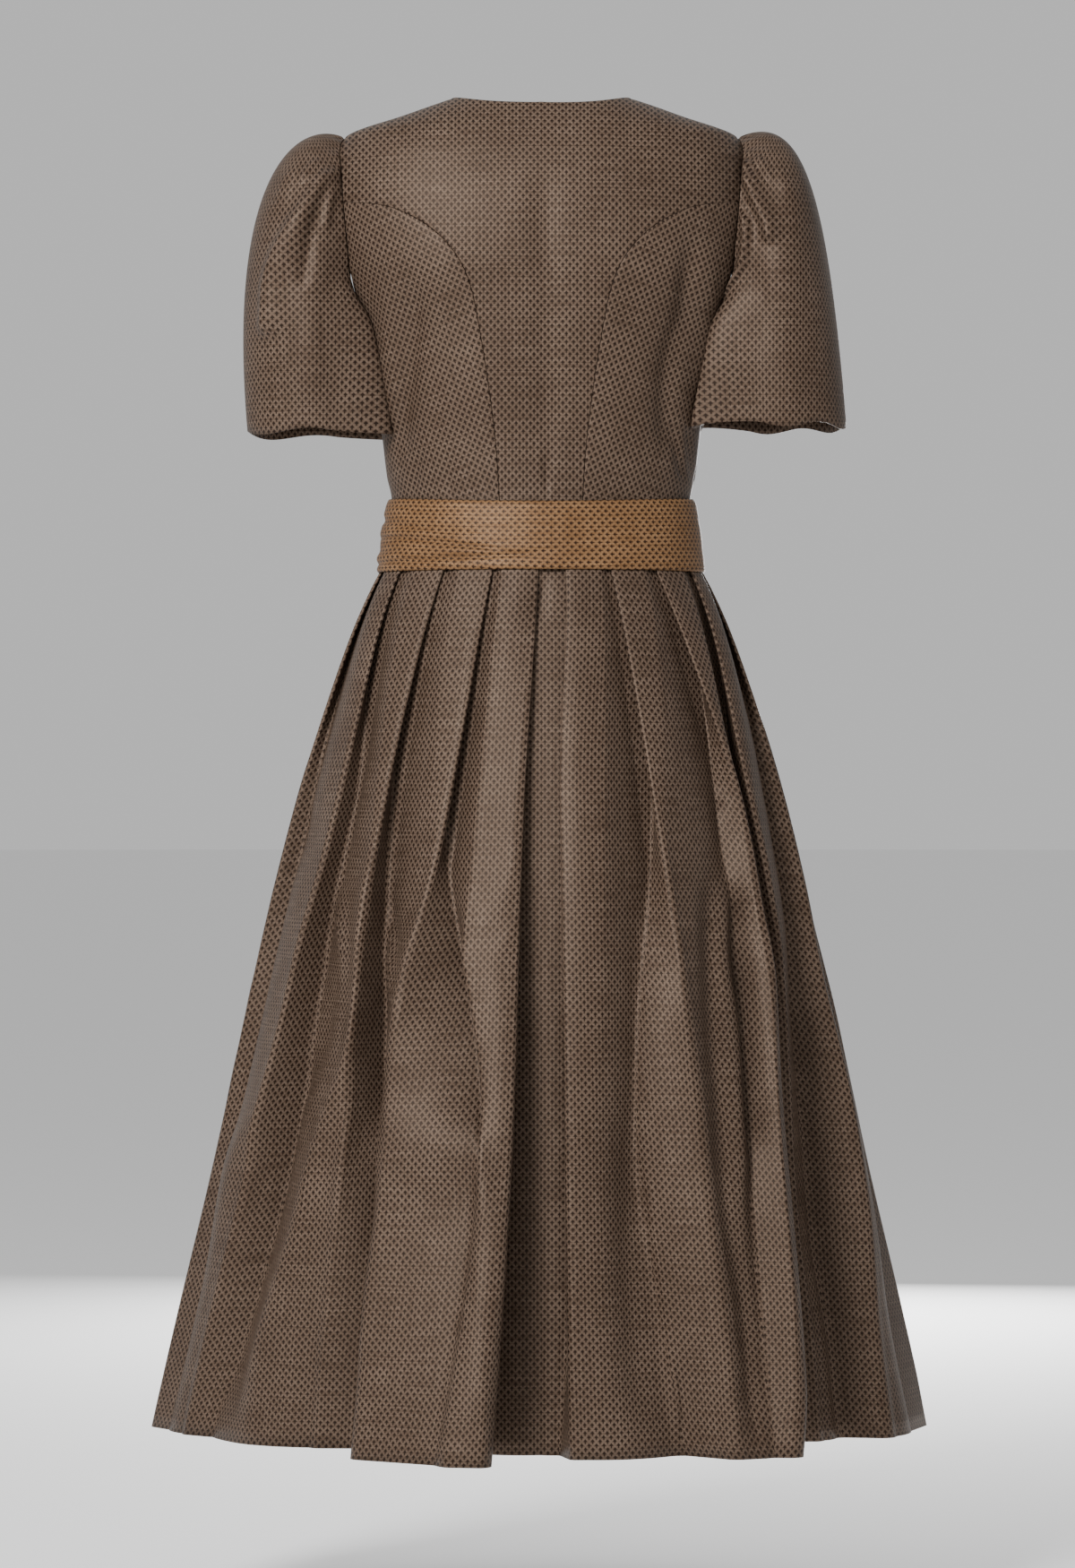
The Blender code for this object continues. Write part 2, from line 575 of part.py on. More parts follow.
def half_section(pleats, height):
    """Half of the skirt's section: distance round, and distance out of the outline."""
    turns, lengths = outline_lengths(height)
    groups = pleat_groups(pleats, height, turns, lengths)
    rollers = [roller for group in groups for roller in group]
    headings = [heading(a, b) for a, b in zip(rollers[:-1], rollers[1:])]
    swell = pleat_value(PANEL_SWELL, height)
    path = [np.array([[0.0, -rollers[0].into]])]
    number = 1
    seam = 0
    for place, group in enumerate(groups[1:-1], start=1):
        line = []
        for roller in group:
            line += arc_points(roller, headings[number - 1], headings[number])
            number += 1
        is_edge = place % 2 == 0
        bent = by_bend(line, EDGE_POINTS if is_edge else TURN_POINTS)
        if not is_edge:
            path.append(panel_points(path[-1][-1], bent[0], swell))
            if place == 2 * SIDE_SEAM_PLEAT + 3:
                seam = sum(len(part) for part in path) - 1
        path.append(bent)
    end = np.array([lengths[-1], -rollers[-1].into])
    path.append(panel_points(path[-1][-1], end, swell))
    path.append(end[None])
    return np.concatenate(path), seam, (turns, lengths)


def panel_points(start, end, swell):
    """Points between the two ends of a panel that bows out a little."""
    shares = np.arange(1, PANEL_PARTS) / PANEL_PARTS
    points = start + (end - start) * shares[:, None]
    points[:, 1] += swell * np.linalg.norm(end - start) * 4.0 * shares * (1.0 - shares)
    return points


def half_skirt(side, pleats, heights):
    """Half of the skirt as points in space, from centre back to centre front."""
    rows = []
    for height in heights:
        path, seam, (turns, lengths) = half_section(pleats, height)
        angles = np.interp(path[:, 0], lengths, turns)
        point, normal = outline_points(SKIRT_OUTLINE, angles[None], np.array([height]))
        plan = point[0] + normal[0] * path[:, 1:]
        rows.append(np.column_stack([side * plan[:, 0], plan[:, 1], np.full(len(plan), height)]))
    return np.array(rows), seam


# ---------------------------------------------------------------- solids from grids
def pull_in(grid, edges, gap):
    """Draw the named edges of a grid back from the seam."""
    moved = grid.copy()
    picks = {"top": (0, 1), "bottom": (-1, -2)}
    for edge in edges:
        if edge in picks:
            rim, inner = grid[picks[edge][0]], grid[picks[edge][1]]
        else:
            rim, inner = grid[:, 0 if edge == "start" else -1], grid[:, 1 if edge == "start" else -2]
        direction = inner - rim
        direction = direction / np.linalg.norm(direction, axis=1, keepdims=True)
        if edge in picks:
            moved[picks[edge][0]] += direction * gap
        else:
            moved[:, 0 if edge == "start" else -1] += direction * gap
    return moved


def grid_mesh(name, grid, closed=False):
    """An open sheet of quads with a vertex for each point of the grid."""
    rows, columns = grid.shape[:2]
    sheet = bmesh.new()
    points = (grid + np.array([0.0, 0.0, ORIGIN_DROP])) * MM
    vertices = [[sheet.verts.new(point) for point in row] for row in points]
    for row in range(rows - 1):
        for start in range(columns if closed else columns - 1):
            end = (start + 1) % columns
            sheet.faces.new((
                vertices[row][start],
                vertices[row + 1][start],
                vertices[row + 1][end],
                vertices[row][end],
            ))
    mesh = bpy.data.meshes.new(name)
    sheet.to_mesh(mesh)
    sheet.free()
    mesh.shade_smooth()
    return mesh


def add_object(name, mesh, material, collection):
    """Place a mesh in the collection with its material."""
    mesh.materials.append(material)
    piece = bpy.data.objects.new(name, mesh)
    collection.objects.link(piece)
    return piece


def add_cloth(name, grid, material, collection, closed=False, wall=WALL, offset=-1.0, flip=False):
    """A wall of cloth on a grid of points."""
    if flip:
        grid = grid[:, ::-1]
    piece = add_object(name, grid_mesh(name, grid, closed), material, collection)
    cloth = piece.modifiers.new("wall", "SOLIDIFY")
    cloth.thickness = wall * MM
    cloth.offset = offset
    cloth.use_rim = True
    return piece


def on_side(grid, side):
    """The grid on the wearer's left, or mirrored to the right."""
    return grid * np.array([side, 1.0, 1.0])


# ---------------------------------------------------------------- pieces
def build_bodice(material, collection):
    """The seven bodice panels."""
    gap = SEAM_GAP / 2.0
    half = centre_panel(BACK)
    whole = np.concatenate([on_side(half, RIGHT)[:, :0:-1], half], axis=1)
    whole = pull_in(whole, ("top", "bottom", "start", "end"), gap)
    add_cloth("bodice_back", whole, material, collection, flip=True)
    for side, label in ((LEFT, "left"), (RIGHT, "right")):
        for face, place in ((BACK, "side_back"), (FRONT, "side_front"), (FRONT, "front")):
            half = centre_panel(face) if place == "front" else side_panel(face)
            panel = pull_in(half, ("top", "bottom", "start", "end"), gap)
            add_cloth(
                f"bodice_{place}_{label}",
                on_side(panel, side),
                material,
                collection,
                flip=side * face > 0,
            )


def build_sleeves(material, collection):
    """Two puff sleeves, open at the armhole and at the hem."""
    turns = sleeve_turns()
    ring = sleeve_ring(turns)
    shares = np.linspace(0.0, 1.0, SLEEVE_ROWS + 1) ** 1.15
    for name, sleeve in SLEEVES.items():
        grid = sleeve_surface(sleeve, turns, ring, shares)
        grid = pull_in(grid, ("top",), SEAM_GAP)
        add_cloth(name, on_side(grid, sleeve.side), material, collection, closed=True,
                  flip=sleeve.side < 0)


def build_skirt(material, collection):
    """The back and the front of the skirt, joined at the sides."""
    left, left_seam = half_skirt(LEFT, LEFT_PLEATS, SKIRT_ROWS)
    right, right_seam = half_skirt(RIGHT, RIGHT_PLEATS, SKIRT_ROWS)
    back = np.concatenate([right[:, right_seam:0:-1], left[:, :left_seam + 1]], axis=1)
    front = np.concatenate([left[:, left_seam:], right[:, -2:right_seam - 1:-1]], axis=1)
    for name, grid in (("skirt_back", back), ("skirt_front", front)):
        grid = pull_in(grid, ("top", "start", "end"), SEAM_GAP / 2.0)
        add_cloth(name, grid, material, collection, offset=0.0, flip=True)


def belt_points(turns, heights, lift):
    """Points on the outside of the belt, lifted off it."""
    point, normal = outline_points(BELT_RINGS, turns, heights)
    return point + normal * lift


def build_belt(material, collection):
    """The band, the knot and the two hanging ends."""
    turns = np.linspace(0.0, 360.0, BELT_COLUMNS, endpoint=False)
    heights = np.array(column(BELT_RINGS, "height"))
    plan = belt_points(np.tile(turns, (len(heights), 1)), heights, 0.0)
    level = np.tile(heights[:, None], (1, len(turns)))
    back = np.clip(np.cos(np.radians(turns)), 0.0, 1.0) ** 2
    sag = np.linspace(1.0, 0.0, len(heights))[:, None] * back[None] * BELT_BACK_SAG
    grid = np.concatenate([plan, (level - sag)[..., None]], axis=-1)
    add_cloth("belt_band", grid, material, collection, closed=True, wall=BELT_WALL, flip=True)
    build_knot(material, collection)
    for name, end in BELT_ENDS.items():
        build_belt_end(name, end, material, collection)


def build_knot(material, collection):
    """A pad of wrapped cloth that rests on the outside of the band."""
    sphere = bmesh.new()
    bmesh.ops.create_uvsphere(sphere, u_segments=14, v_segments=10, radius=1.0)
    for vertex in sphere.verts:
        across, out, up = (vertex.co[i] * KNOT_HALF_SIZE[i] for i in range(3))
        height = WAIST + up
        turn = KNOT_TURN + across / KNOT_ROUND_STEP
        lift = max(out + KNOT_SINK * KNOT_HALF_SIZE[1], KNOT_LEAST_LIFT)
        plan = belt_points(np.array([[turn]]), np.array([height]), lift)[0, 0]
        vertex.co = (plan[0] * MM, plan[1] * MM, (height + ORIGIN_DROP) * MM)
    bmesh.ops.recalc_face_normals(sphere, faces=sphere.faces)
    mesh = bpy.data.meshes.new("belt_knot")
    sphere.to_mesh(mesh)
    sphere.free()
    mesh.shade_smooth()
    add_object("belt_knot", mesh, material, collection)


def build_belt_end(name, end, material, collection):
    """One end of the belt, hanging over the skirt."""
    rows, columns = BELT_END_GRID
    grid = np.zeros((rows + 1, columns + 1, 3))
    for row in range(rows + 1):
        share = row / rows
        height = BELT_END_TOP - end.length * share
        width = end.top_width + (end.width - end.top_width) * min(1.0, share * BELT_END_OPENS)
        turn = end.turn + end.lean * share
        outline = np.array([height])
        size = float(read(SKIRT_OUTLINE, "half_width", height))
        for step in range(columns + 1):
            offset = (step / columns - 0.5) * width
            place = turn + math.degrees(offset / size)
            point, normal = outline_points(SKIRT_OUTLINE, np.array([[place]]), outline)
            plan = point[0, 0] + normal[0, 0] * end.lift
            grid[row, step] = (plan[0], plan[1], height)
    add_cloth(name, grid, material, collection, wall=BELT_WALL, flip=True)


def main():
    """Clear the file and build the dress."""
    for item in list(bpy.data.objects):
        bpy.data.objects.remove(item, do_unlink=True)
    dress = bpy.data.collections.new("dirndl")
    bpy.context.scene.collection.children.link(dress)
    cloth = make_material("dress_cloth", DRESS_CLOTH)
    sash = make_material("belt_cloth", BELT_CLOTH)
    build_bodice(cloth, dress)
    build_sleeves(cloth, dress)
    build_skirt(cloth, dress)
    build_belt(sash, dress)


main()
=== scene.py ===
"""The dirndl in its cloth: a fitted bodice, puff sleeves, a pleated skirt and a tied sash.

Every cut piece is a thin sheet on the form of its solid, with the folds that the cloth
takes when it is worn and the woven pattern laid along its grain.

Tables are in millimetres, with heights measured down from the high shoulder points.
+X is the wearer's left and +Y the wearer's back.
"""

import logging
import math
from dataclasses import dataclass, field
from enum import Enum
from typing import Any, NamedTuple, Sequence

import bpy
import numpy as np
from mathutils import Matrix, Vector


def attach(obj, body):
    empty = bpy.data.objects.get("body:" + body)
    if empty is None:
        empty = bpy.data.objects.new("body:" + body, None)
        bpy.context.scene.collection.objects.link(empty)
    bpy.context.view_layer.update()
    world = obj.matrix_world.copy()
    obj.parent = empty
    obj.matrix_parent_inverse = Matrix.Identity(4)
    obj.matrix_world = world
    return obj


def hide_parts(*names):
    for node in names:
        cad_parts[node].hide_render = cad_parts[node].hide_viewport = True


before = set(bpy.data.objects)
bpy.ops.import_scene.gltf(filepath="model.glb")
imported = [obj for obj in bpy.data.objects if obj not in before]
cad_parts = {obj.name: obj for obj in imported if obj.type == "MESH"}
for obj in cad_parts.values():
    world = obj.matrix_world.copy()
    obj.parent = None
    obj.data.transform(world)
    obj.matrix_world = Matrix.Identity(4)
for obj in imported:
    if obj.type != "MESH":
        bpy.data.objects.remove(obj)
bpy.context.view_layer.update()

LOG = logging.getLogger("dirndl")

MM = 0.001
ORIGIN_DROP = 18.0           # the origin lies this far below the high shoulder points
WAIST = -400.0
HEM = -1215.0
SHOULDER_DROP = -36.0
UNDERARM = -205.0
NECK_HALF_WIDTH = 82.0
BODY = "root"


class Side(Enum):
    """A side of the wearer, as the sign of X."""

    LEFT = 1
    RIGHT = -1

    @property
    def label(self) -> str:
        """The side's word in the names of pieces."""
        return self.name.lower()


class Face(Enum):
    """The back or the front of the dress, as the sign of Y."""

    BACK = 1
    FRONT = -1


# ---------------------------------------------------------------- tables of the form
class TorsoRing(NamedTuple):
    """One ring of the worn bodice: power 2 is an ellipse, more is squarer."""

    height: float
    half_width: float
    back_depth: float
    front_depth: float
    power: float


class Outline(NamedTuple):
    """One ring of the skirt or belt, as a half ellipse at the back and at the front."""

    height: float
    half_width: float
    back_depth: float
    front_depth: float


class SeamPoint(NamedTuple):
    """A point of a princess seam."""

    out: float
    height: float


class Pleat(NamedTuple):
    """A pleat's outer edge and hidden turn, in degrees round, at the four pleat heights."""

    edge: tuple[float, ...]
    edge_in: tuple[float, ...]
    turn: tuple[float, ...]
    turn_in: tuple[float, ...]
    roll: float


class Roller(NamedTuple):
    """A round fold that the skirt's cloth runs over or under."""

    along: float
    into: float
    radius: float
    way: float


class Fold(NamedTuple):
    """A soft ridge (rise above 0) or trough in the cloth, seen from the back or the front.

    The line gives how far out it lies, plus towards the wearer's left, and its heights from
    top to bottom. width is its softness on its left side and far on its right side.
    """

    line: tuple[tuple[float, float], ...]
    rise: float
    width: float
    far: float
    fade: float


class Wave(NamedTuple):
    """A sine: how often it comes, how high it is and where it starts."""

    times: float
    rise: float
    start: float = 0.0

    def at(self, place: Any) -> Any:
        """Its height at a place."""
        return self.rise * np.sin(self.times * place + self.start)


TORSO_RINGS = (
    TorsoRing(0.0, 82.0, 62.0, 40.0, 2.4),
    TorsoRing(-16.0, 127.0, 74.0, 50.0, 2.4),
    TorsoRing(-36.0, 180.0, 84.0, 62.0, 2.4),
    TorsoRing(-56.0, 190.0, 92.0, 76.0, 2.4),
    TorsoRing(-100.0, 194.0, 102.0, 98.0, 2.4),
    TorsoRing(-155.0, 186.0, 105.0, 117.0, 2.4),
    TorsoRing(-180.0, 175.0, 103.0, 124.0, 2.4),
    TorsoRing(-205.0, 163.0, 101.0, 129.0, 2.35),
    TorsoRing(-250.0, 155.5, 96.0, 133.0, 2.3),
    TorsoRing(-305.0, 146.0, 89.0, 120.0, 2.15),
    TorsoRing(-345.0, 141.2, 86.0, 104.0, 2.05),
    TorsoRing(-366.0, 137.2, 84.8, 98.0, 2.0),
    TorsoRing(-400.0, 139.0, 87.0, 98.5, 2.0),
)
PRINCESS_SEAMS = {
    Face.BACK: (
        SeamPoint(143.0, -104.0),
        SeamPoint(114.0, -116.0),
        SeamPoint(91.0, -133.0),
        SeamPoint(73.0, -156.0),
        SeamPoint(63.0, -180.0),
        SeamPoint(55.0, -220.0),
        SeamPoint(47.0, -270.0),
        SeamPoint(40.0, -330.0),
        SeamPoint(36.0, -400.0),
    ),
    Face.FRONT: (
        SeamPoint(140.0, -150.0),
        SeamPoint(113.0, -180.0),
        SeamPoint(97.0, -215.0),
        SeamPoint(89.0, -250.0),
        SeamPoint(78.0, -300.0),
        SeamPoint(66.0, -350.0),
        SeamPoint(58.0, -400.0),
    ),
}
SEAM_TURNS = {Face.BACK: 74.6, Face.FRONT: 92.0}
NECK_DROPS = {Face.BACK: -9.6, Face.FRONT: -128.0}
NECK_ROUNDNESS = {Face.BACK: 3.0, Face.FRONT: 2.35}
ARMHOLE_DEPTHS = {Face.BACK: 50.0, Face.FRONT: 54.0}
SKIRT_OUTLINE = (
    Outline(-400.0, 143.4, 92.0, 100.0),
    Outline(-432.0, 147.2, 97.0, 104.0),
    Outline(-442.0, 152.5, 101.0, 108.0),
    Outline(-482.0, 170.5, 116.0, 124.0),
    Outline(-532.0, 188.5, 134.0, 140.0),
    Outline(-630.0, 219.5, 165.0, 166.0),
    Outline(-728.0, 245.5, 195.0, 190.0),
    Outline(-851.0, 273.5, 228.0, 218.0),
    Outline(-975.0, 299.5, 258.0, 246.0),
    Outline(-1098.0, 328.5, 288.0, 272.0),
    Outline(-1215.0, 356.0, 316.0, 296.0),
)
BELT_RINGS = (
    Outline(-366.0, 141.0, 90.0, 103.0),
    Outline(-378.0, 143.6, 92.5, 103.6),
    Outline(-400.0, 146.8, 96.0, 104.2),
    Outline(-420.0, 149.0, 98.6, 106.6),
    Outline(-433.0, 150.4, 100.6, 107.8),
)
PLEAT_HEIGHTS = (-436.0, -640.0, -920.0, -1215.0)
PLEATS = {
    Side.LEFT: (
        Pleat((1.5, 4.4, 6.0, 9.2), (0, 0, 0, 3), (12, 13, 14, 16.5), (3.9, 20, 62, 115), 12),
        Pleat((17.7, 21.8, 28.6, 29.0), (0, 0, 3, 28), (29, 24, 12, 17), (3.9, 16, 23, 18), 14),
        Pleat((37.3, 39.2, 38.5, 46.0), (0, 0, 10, 80), (49, 40, 34, 26), (3.9, 20, 45, 127), 14),
        Pleat((60.9, 54.7, 61.0, 79.5), (0, 0, 2, 25), (72, 54, 57, 72.5), (3.9, 20, 28, 46), 12),
        Pleat((84.0, 83.0, 87.0, 92.0), (0, 0, 0, 0), (96, 82, 82, 86), (3.9, 13, 20, 17), 11),
        Pleat((107.0, 106.0, 108.0, 110.0), (0, 0, 0, 8), (119, 104, 101, 101), (3.9, 18, 38, 60), 15),
        Pleat((130.0, 129.0, 128.0, 128.0), (0, 0, 4, 18), (142, 125, 119, 119), (3.9, 16, 34, 62), 15),
        Pleat((153.0, 153.0, 151.0, 149.0), (0, 0, 0, 6), (164, 149, 142, 139), (3.9, 20, 50, 88), 18),
    ),
    Side.RIGHT: (
        Pleat((9.1, 4.8, 5.2, 6.0), (0, 0, 18, 63), (19, 13, 8, 2.5), (3.9, 18, 54, 99), 8),
        Pleat((25.6, 27.2, 29.5, 32.4), (0, 0, 4, 22), (37, 28, 19, 24), (3.9, 18, 36, 75), 18),
        Pleat((45.5, 52.8, 46.5, 40.0), (0, 0, 0, 10), (58, 50, 42, 36.7), (3.9, 22, 24, 20), 10),
        Pleat((68.4, 59.5, 63.0, 62.5), (0, 3, 30, 75), (79, 60, 54, 44), (3.9, 26, 62, 150), 12),
        Pleat((91.5, 82.0, 76.5, 74.5), (0, 0, 3, 24), (103, 78, 71, 68.5), (3.9, 16, 36, 72), 14),
        Pleat((113.0, 106.0, 100.0, 94.0), (0, 0, 0, 3), (125, 102, 92, 84), (3.9, 14, 20, 18), 14),
        Pleat((134.0, 130.0, 127.0, 122.0), (0, 0, 2, 12), (146, 126, 117, 110), (3.9, 18, 42, 72), 18),
        Pleat((155.0, 154.0, 150.0, 148.0), (0, 0, 0, 2), (166, 150, 140, 138), (3.9, 16, 42, 78), 18),
    ),
}
CENTRE_BACK_IN = (3.9, 17.0, 54.0, 101.0)
CENTRE_FRONT_IN = (0.0, 0.0, 6.0, 14.0)
PRESSED_ROLL = 0.95
ROLL_SHARE = (0.0, 0.09, 0.42, 1.0)
PANEL_SWELL = (0.0, 0.03, 0.05, 0.07)
FOLD_FLAT = (0.0, 1.0, 4.0, 8.0)
SIDE_SEAM_PLEAT = 4


# ---------------------------------------------------------------- reading the tables
LEAN_REACH = 4.0             # a fold's lean is read this far above and below a point


def eased(share: Any) -> Any:
    """A share from 0 to 1, made to start and end softly."""
    return share * share * (3.0 - 2.0 * share)


def clamped(value: Any) -> Any:
    """A value held between 0 and 1."""
    return np.clip(value, 0.0, 1.0)


def bell(off: Any, width: Any) -> Any:
    """A soft hump: 1 in its middle, and nearly 0 at twice its width."""
    return np.exp(-((off / width) ** 2))


def smooth(value: Any, knots: Sequence[float], heights: Sequence[float]) -> np.ndarray:
    """Read a table between its rows by a monotone cubic, flat beyond its ends.

    Args:
        value: where to read, a number or an array.
        knots: the table's places, rising or falling.
        heights: the table's values at the places.

    Returns:
        The values read.
    """
    at, out = np.asarray(knots, float), np.asarray(heights, float)
    if at[0] > at[-1]:
        at, out = at[::-1], out[::-1]
    step = np.diff(at)
    rise = np.diff(out) / step
    slope = np.zeros_like(at)
    slope[0], slope[-1] = rise[0], rise[-1]
    same_way = rise[:-1] * rise[1:] > 0
    mean = 2.0 * rise[:-1] * rise[1:] / np.where(same_way, rise[:-1] + rise[1:], 1.0)
    slope[1:-1] = np.where(same_way, mean, 0.0)
    value = np.clip(np.asarray(value, float), at[0], at[-1])
    row = np.clip(np.searchsorted(at, value) - 1, 0, len(step) - 1)
    t = (value - at[row]) / step[row]
    ease = eased(t)
    return (
        out[row] * (1.0 - ease)
        + out[row + 1] * ease
        + slope[row] * step[row] * t * (1.0 - t) ** 2
        - slope[row + 1] * step[row] * t * t * (1.0 - t)
    )


def read(table: Sequence[NamedTuple], name: str, height: Any) -> np.ndarray:
    """Read a named column of a table of rings at any height."""
    return smooth(height, [row.height for row in table], [getattr(row, name) for row in table])


def lengths_along(points: np.ndarray) -> np.ndarray:
    """Distance along a line of points to each of them, from 0."""
    steps = np.linalg.norm(np.diff(points, axis=0), axis=1)
    return np.concatenate([[0.0], np.cumsum(steps)])


def spread(points: np.ndarray, count: int, solid: np.ndarray | None = None) -> np.ndarray:
    """Place points evenly along a line, by its length in space if that is given.

    Args:
        points: the line.
        count: how many parts to make.
        solid: the same line in space.

    Returns:
        count + 1 points.
    """
    along = lengths_along(points if solid is None else solid)
    wanted = np.linspace(0.0, along[-1], count + 1)
    return np.stack([smooth(wanted, along, axis) for axis in points.T], axis=1)


def grid_normals(grid: np.ndarray) -> np.ndarray:
    """Unit normals of a grid of points, along columns crossed with down rows.

    Args:
        grid: rows, columns and coordinates.

    Returns:
        A normal for each point.
    """
    down, across = np.gradient(grid, axis=0), np.gradient(grid, axis=1)
    normal = np.cross(across, down)
    return normal / np.maximum(np.linalg.norm(normal, axis=-1, keepdims=True), 1e-9)


def grid_area(grid: np.ndarray) -> float:
    """Area of a grid of points in space.

    Args:
        grid: rows, columns and coordinates.

    Returns:
        The area in the grid's units squared.
    """
    diagonal = grid[1:, 1:] - grid[:-1, :-1]
    other = grid[:-1, 1:] - grid[1:, :-1]
    return float(np.linalg.norm(np.cross(diagonal, other), axis=-1).sum() / 2.0)


def fold_offset(folds: Sequence[Fold], out: np.ndarray, height: np.ndarray) -> np.ndarray:
    """How far soft folds lift each point of a sheet.

    Args:
        folds: the ridges and troughs.
        out: how far out each point lies, plus towards the wearer's left.
        height: each point's height.

    Returns:
        The lift of each point.
    """
    total = np.zeros(np.broadcast(out, height).shape)
    for fold in folds:
        outs, heights = np.array(fold.line).T
        middle = smooth(height, heights, outs)
        above = smooth(height + LEAN_REACH, heights, outs)
        below = smooth(height - LEAN_REACH, heights, outs)
        lean = (above - below) / (2.0 * LEAN_REACH)
        off = (out - middle) / np.sqrt(1.0 + lean ** 2)
        inside = clamped((heights[0] - height) / fold.fade) * clamped((height - heights[-1]) / fold.fade)
        total += fold.rise * eased(inside) * bell(off, np.where(off > 0.0, fold.width, fold.far))
    return total


# ---------------------------------------------------------------- cloth finishes
MIX_FACTOR, MIX_FIRST, MIX_SECOND = 0, 6, 7      # a Mix node's inputs for colours
MIX_RESULT = 2                                   # and its output


class Reading:
    """A number that changes over the cloth: a socket that takes arithmetic."""

    def __init__(self, bench: "NodeBench", socket: Any) -> None:
        """Wrap a socket of the bench's node tree."""
        self.bench = bench
        self.socket = socket

    def _math(self, operation: str, *terms: Any) -> "Reading":
        """Add a Math node on the terms and read its result."""
        return self.bench.read("ShaderNodeMath", {"operation": operation}, terms)

    def __add__(self, other: Any) -> "Reading":
        """Sum."""
        return self._math("ADD", self, other)

    __radd__ = __add__

    def __sub__(self, other: Any) -> "Reading":
        """Difference."""
        return self._math("SUBTRACT", self, other)

    def __rsub__(self, other: Any) -> "Reading":
        """Difference from a number."""
        return self._math("SUBTRACT", other, self)

    def __mul__(self, other: Any) -> "Reading":
        """Product."""
        return self._math("MULTIPLY", self, other)

    __rmul__ = __mul__

    def __abs__(self) -> "Reading":
        """Size without the sign."""
        return self._math("ABSOLUTE", self)

    def fraction(self) -> "Reading":
        """What is left over whole numbers."""
        return self._math("FRACT", self)

    def least(self, other: Any) -> "Reading":
        """The smaller of two."""
        return self._math("MINIMUM", self, other)

    def most(self, other: Any) -> "Reading":
        """The larger of two."""
        return self._math("MAXIMUM", self, other)

    def held(self) -> "Reading":
        """Held between 0 and 1."""
        return self.least(1.0).most(0.0)


class NodeBench:
    """Makes and links the nodes of one material."""

    def __init__(self, name: str) -> None:
        """Start a material with its Principled shader.

        Args:
            name: the material's name.
        """
        self.material = bpy.data.materials.new(name)
        self.material.use_nodes = True
        self.tree = self.material.node_tree
        self.shader = self.tree.nodes["Principled BSDF"]

    def node(self, kind: str, settings: dict[str, Any], values: Any) -> Any:
        """Add a node.

        Args:
            kind: the node's type.
            settings: its properties, set first.
            values: numbers, vectors or readings for its sockets, in order or by name.

        Returns:
            The node.
        """
        node = self.tree.nodes.new(kind)
        for name, setting in settings.items():
            setattr(node, name, setting)
        pairs = values.items() if isinstance(values, dict) else enumerate(values)
        for key, value in pairs:
            socket = node.inputs[key]
            if isinstance(value, Reading):
                self.tree.links.new(value.socket, socket)
            else:
                socket.default_value = value
        return node

    def read(self, kind: str, settings: dict[str, Any], values: Any, output: int | str = 0) -> Reading:
        """Add a node and read one of its outputs."""
        return Reading(self, self.node(kind, settings, values).outputs[output])

    def mix(self, factor: Reading, first: Any, second: Any) -> Reading:
        """Mix two colours by a reading."""
        values = {MIX_FACTOR: factor, MIX_FIRST: first, MIX_SECOND: second}
        return self.read("ShaderNodeMix", {"data_type": "RGBA"}, values, MIX_RESULT)

    def noise(self, place: Reading, scale: float, detail: float) -> Reading:
        """Flat noise at a place."""
        values = {"Vector": place, "Scale": scale, "Detail": detail}
        return self.read("ShaderNodeTexNoise", {"noise_dimensions": "2D"}, values)

    def threads(self, place: Reading, scale: tuple[float, float]) -> Reading:
        """Uneven threads: noise drawn out along one way of the cloth."""
        drawn = self.read("ShaderNodeVectorMath", {"operation": "MULTIPLY"}, {0: place, 1: (*scale, 1.0)})
        return self.noise(drawn, 1.0, 3.0)

    def feed(self, reading: Reading, socket: str) -> None:
        """Link a reading to a socket of the shader."""
        self.tree.links.new(reading.socket, self.shader.inputs[socket])

    def setting(self, socket: str, value: Any) -> None:
        """Set a socket of the shader."""
        self.shader.inputs[socket].default_value = value


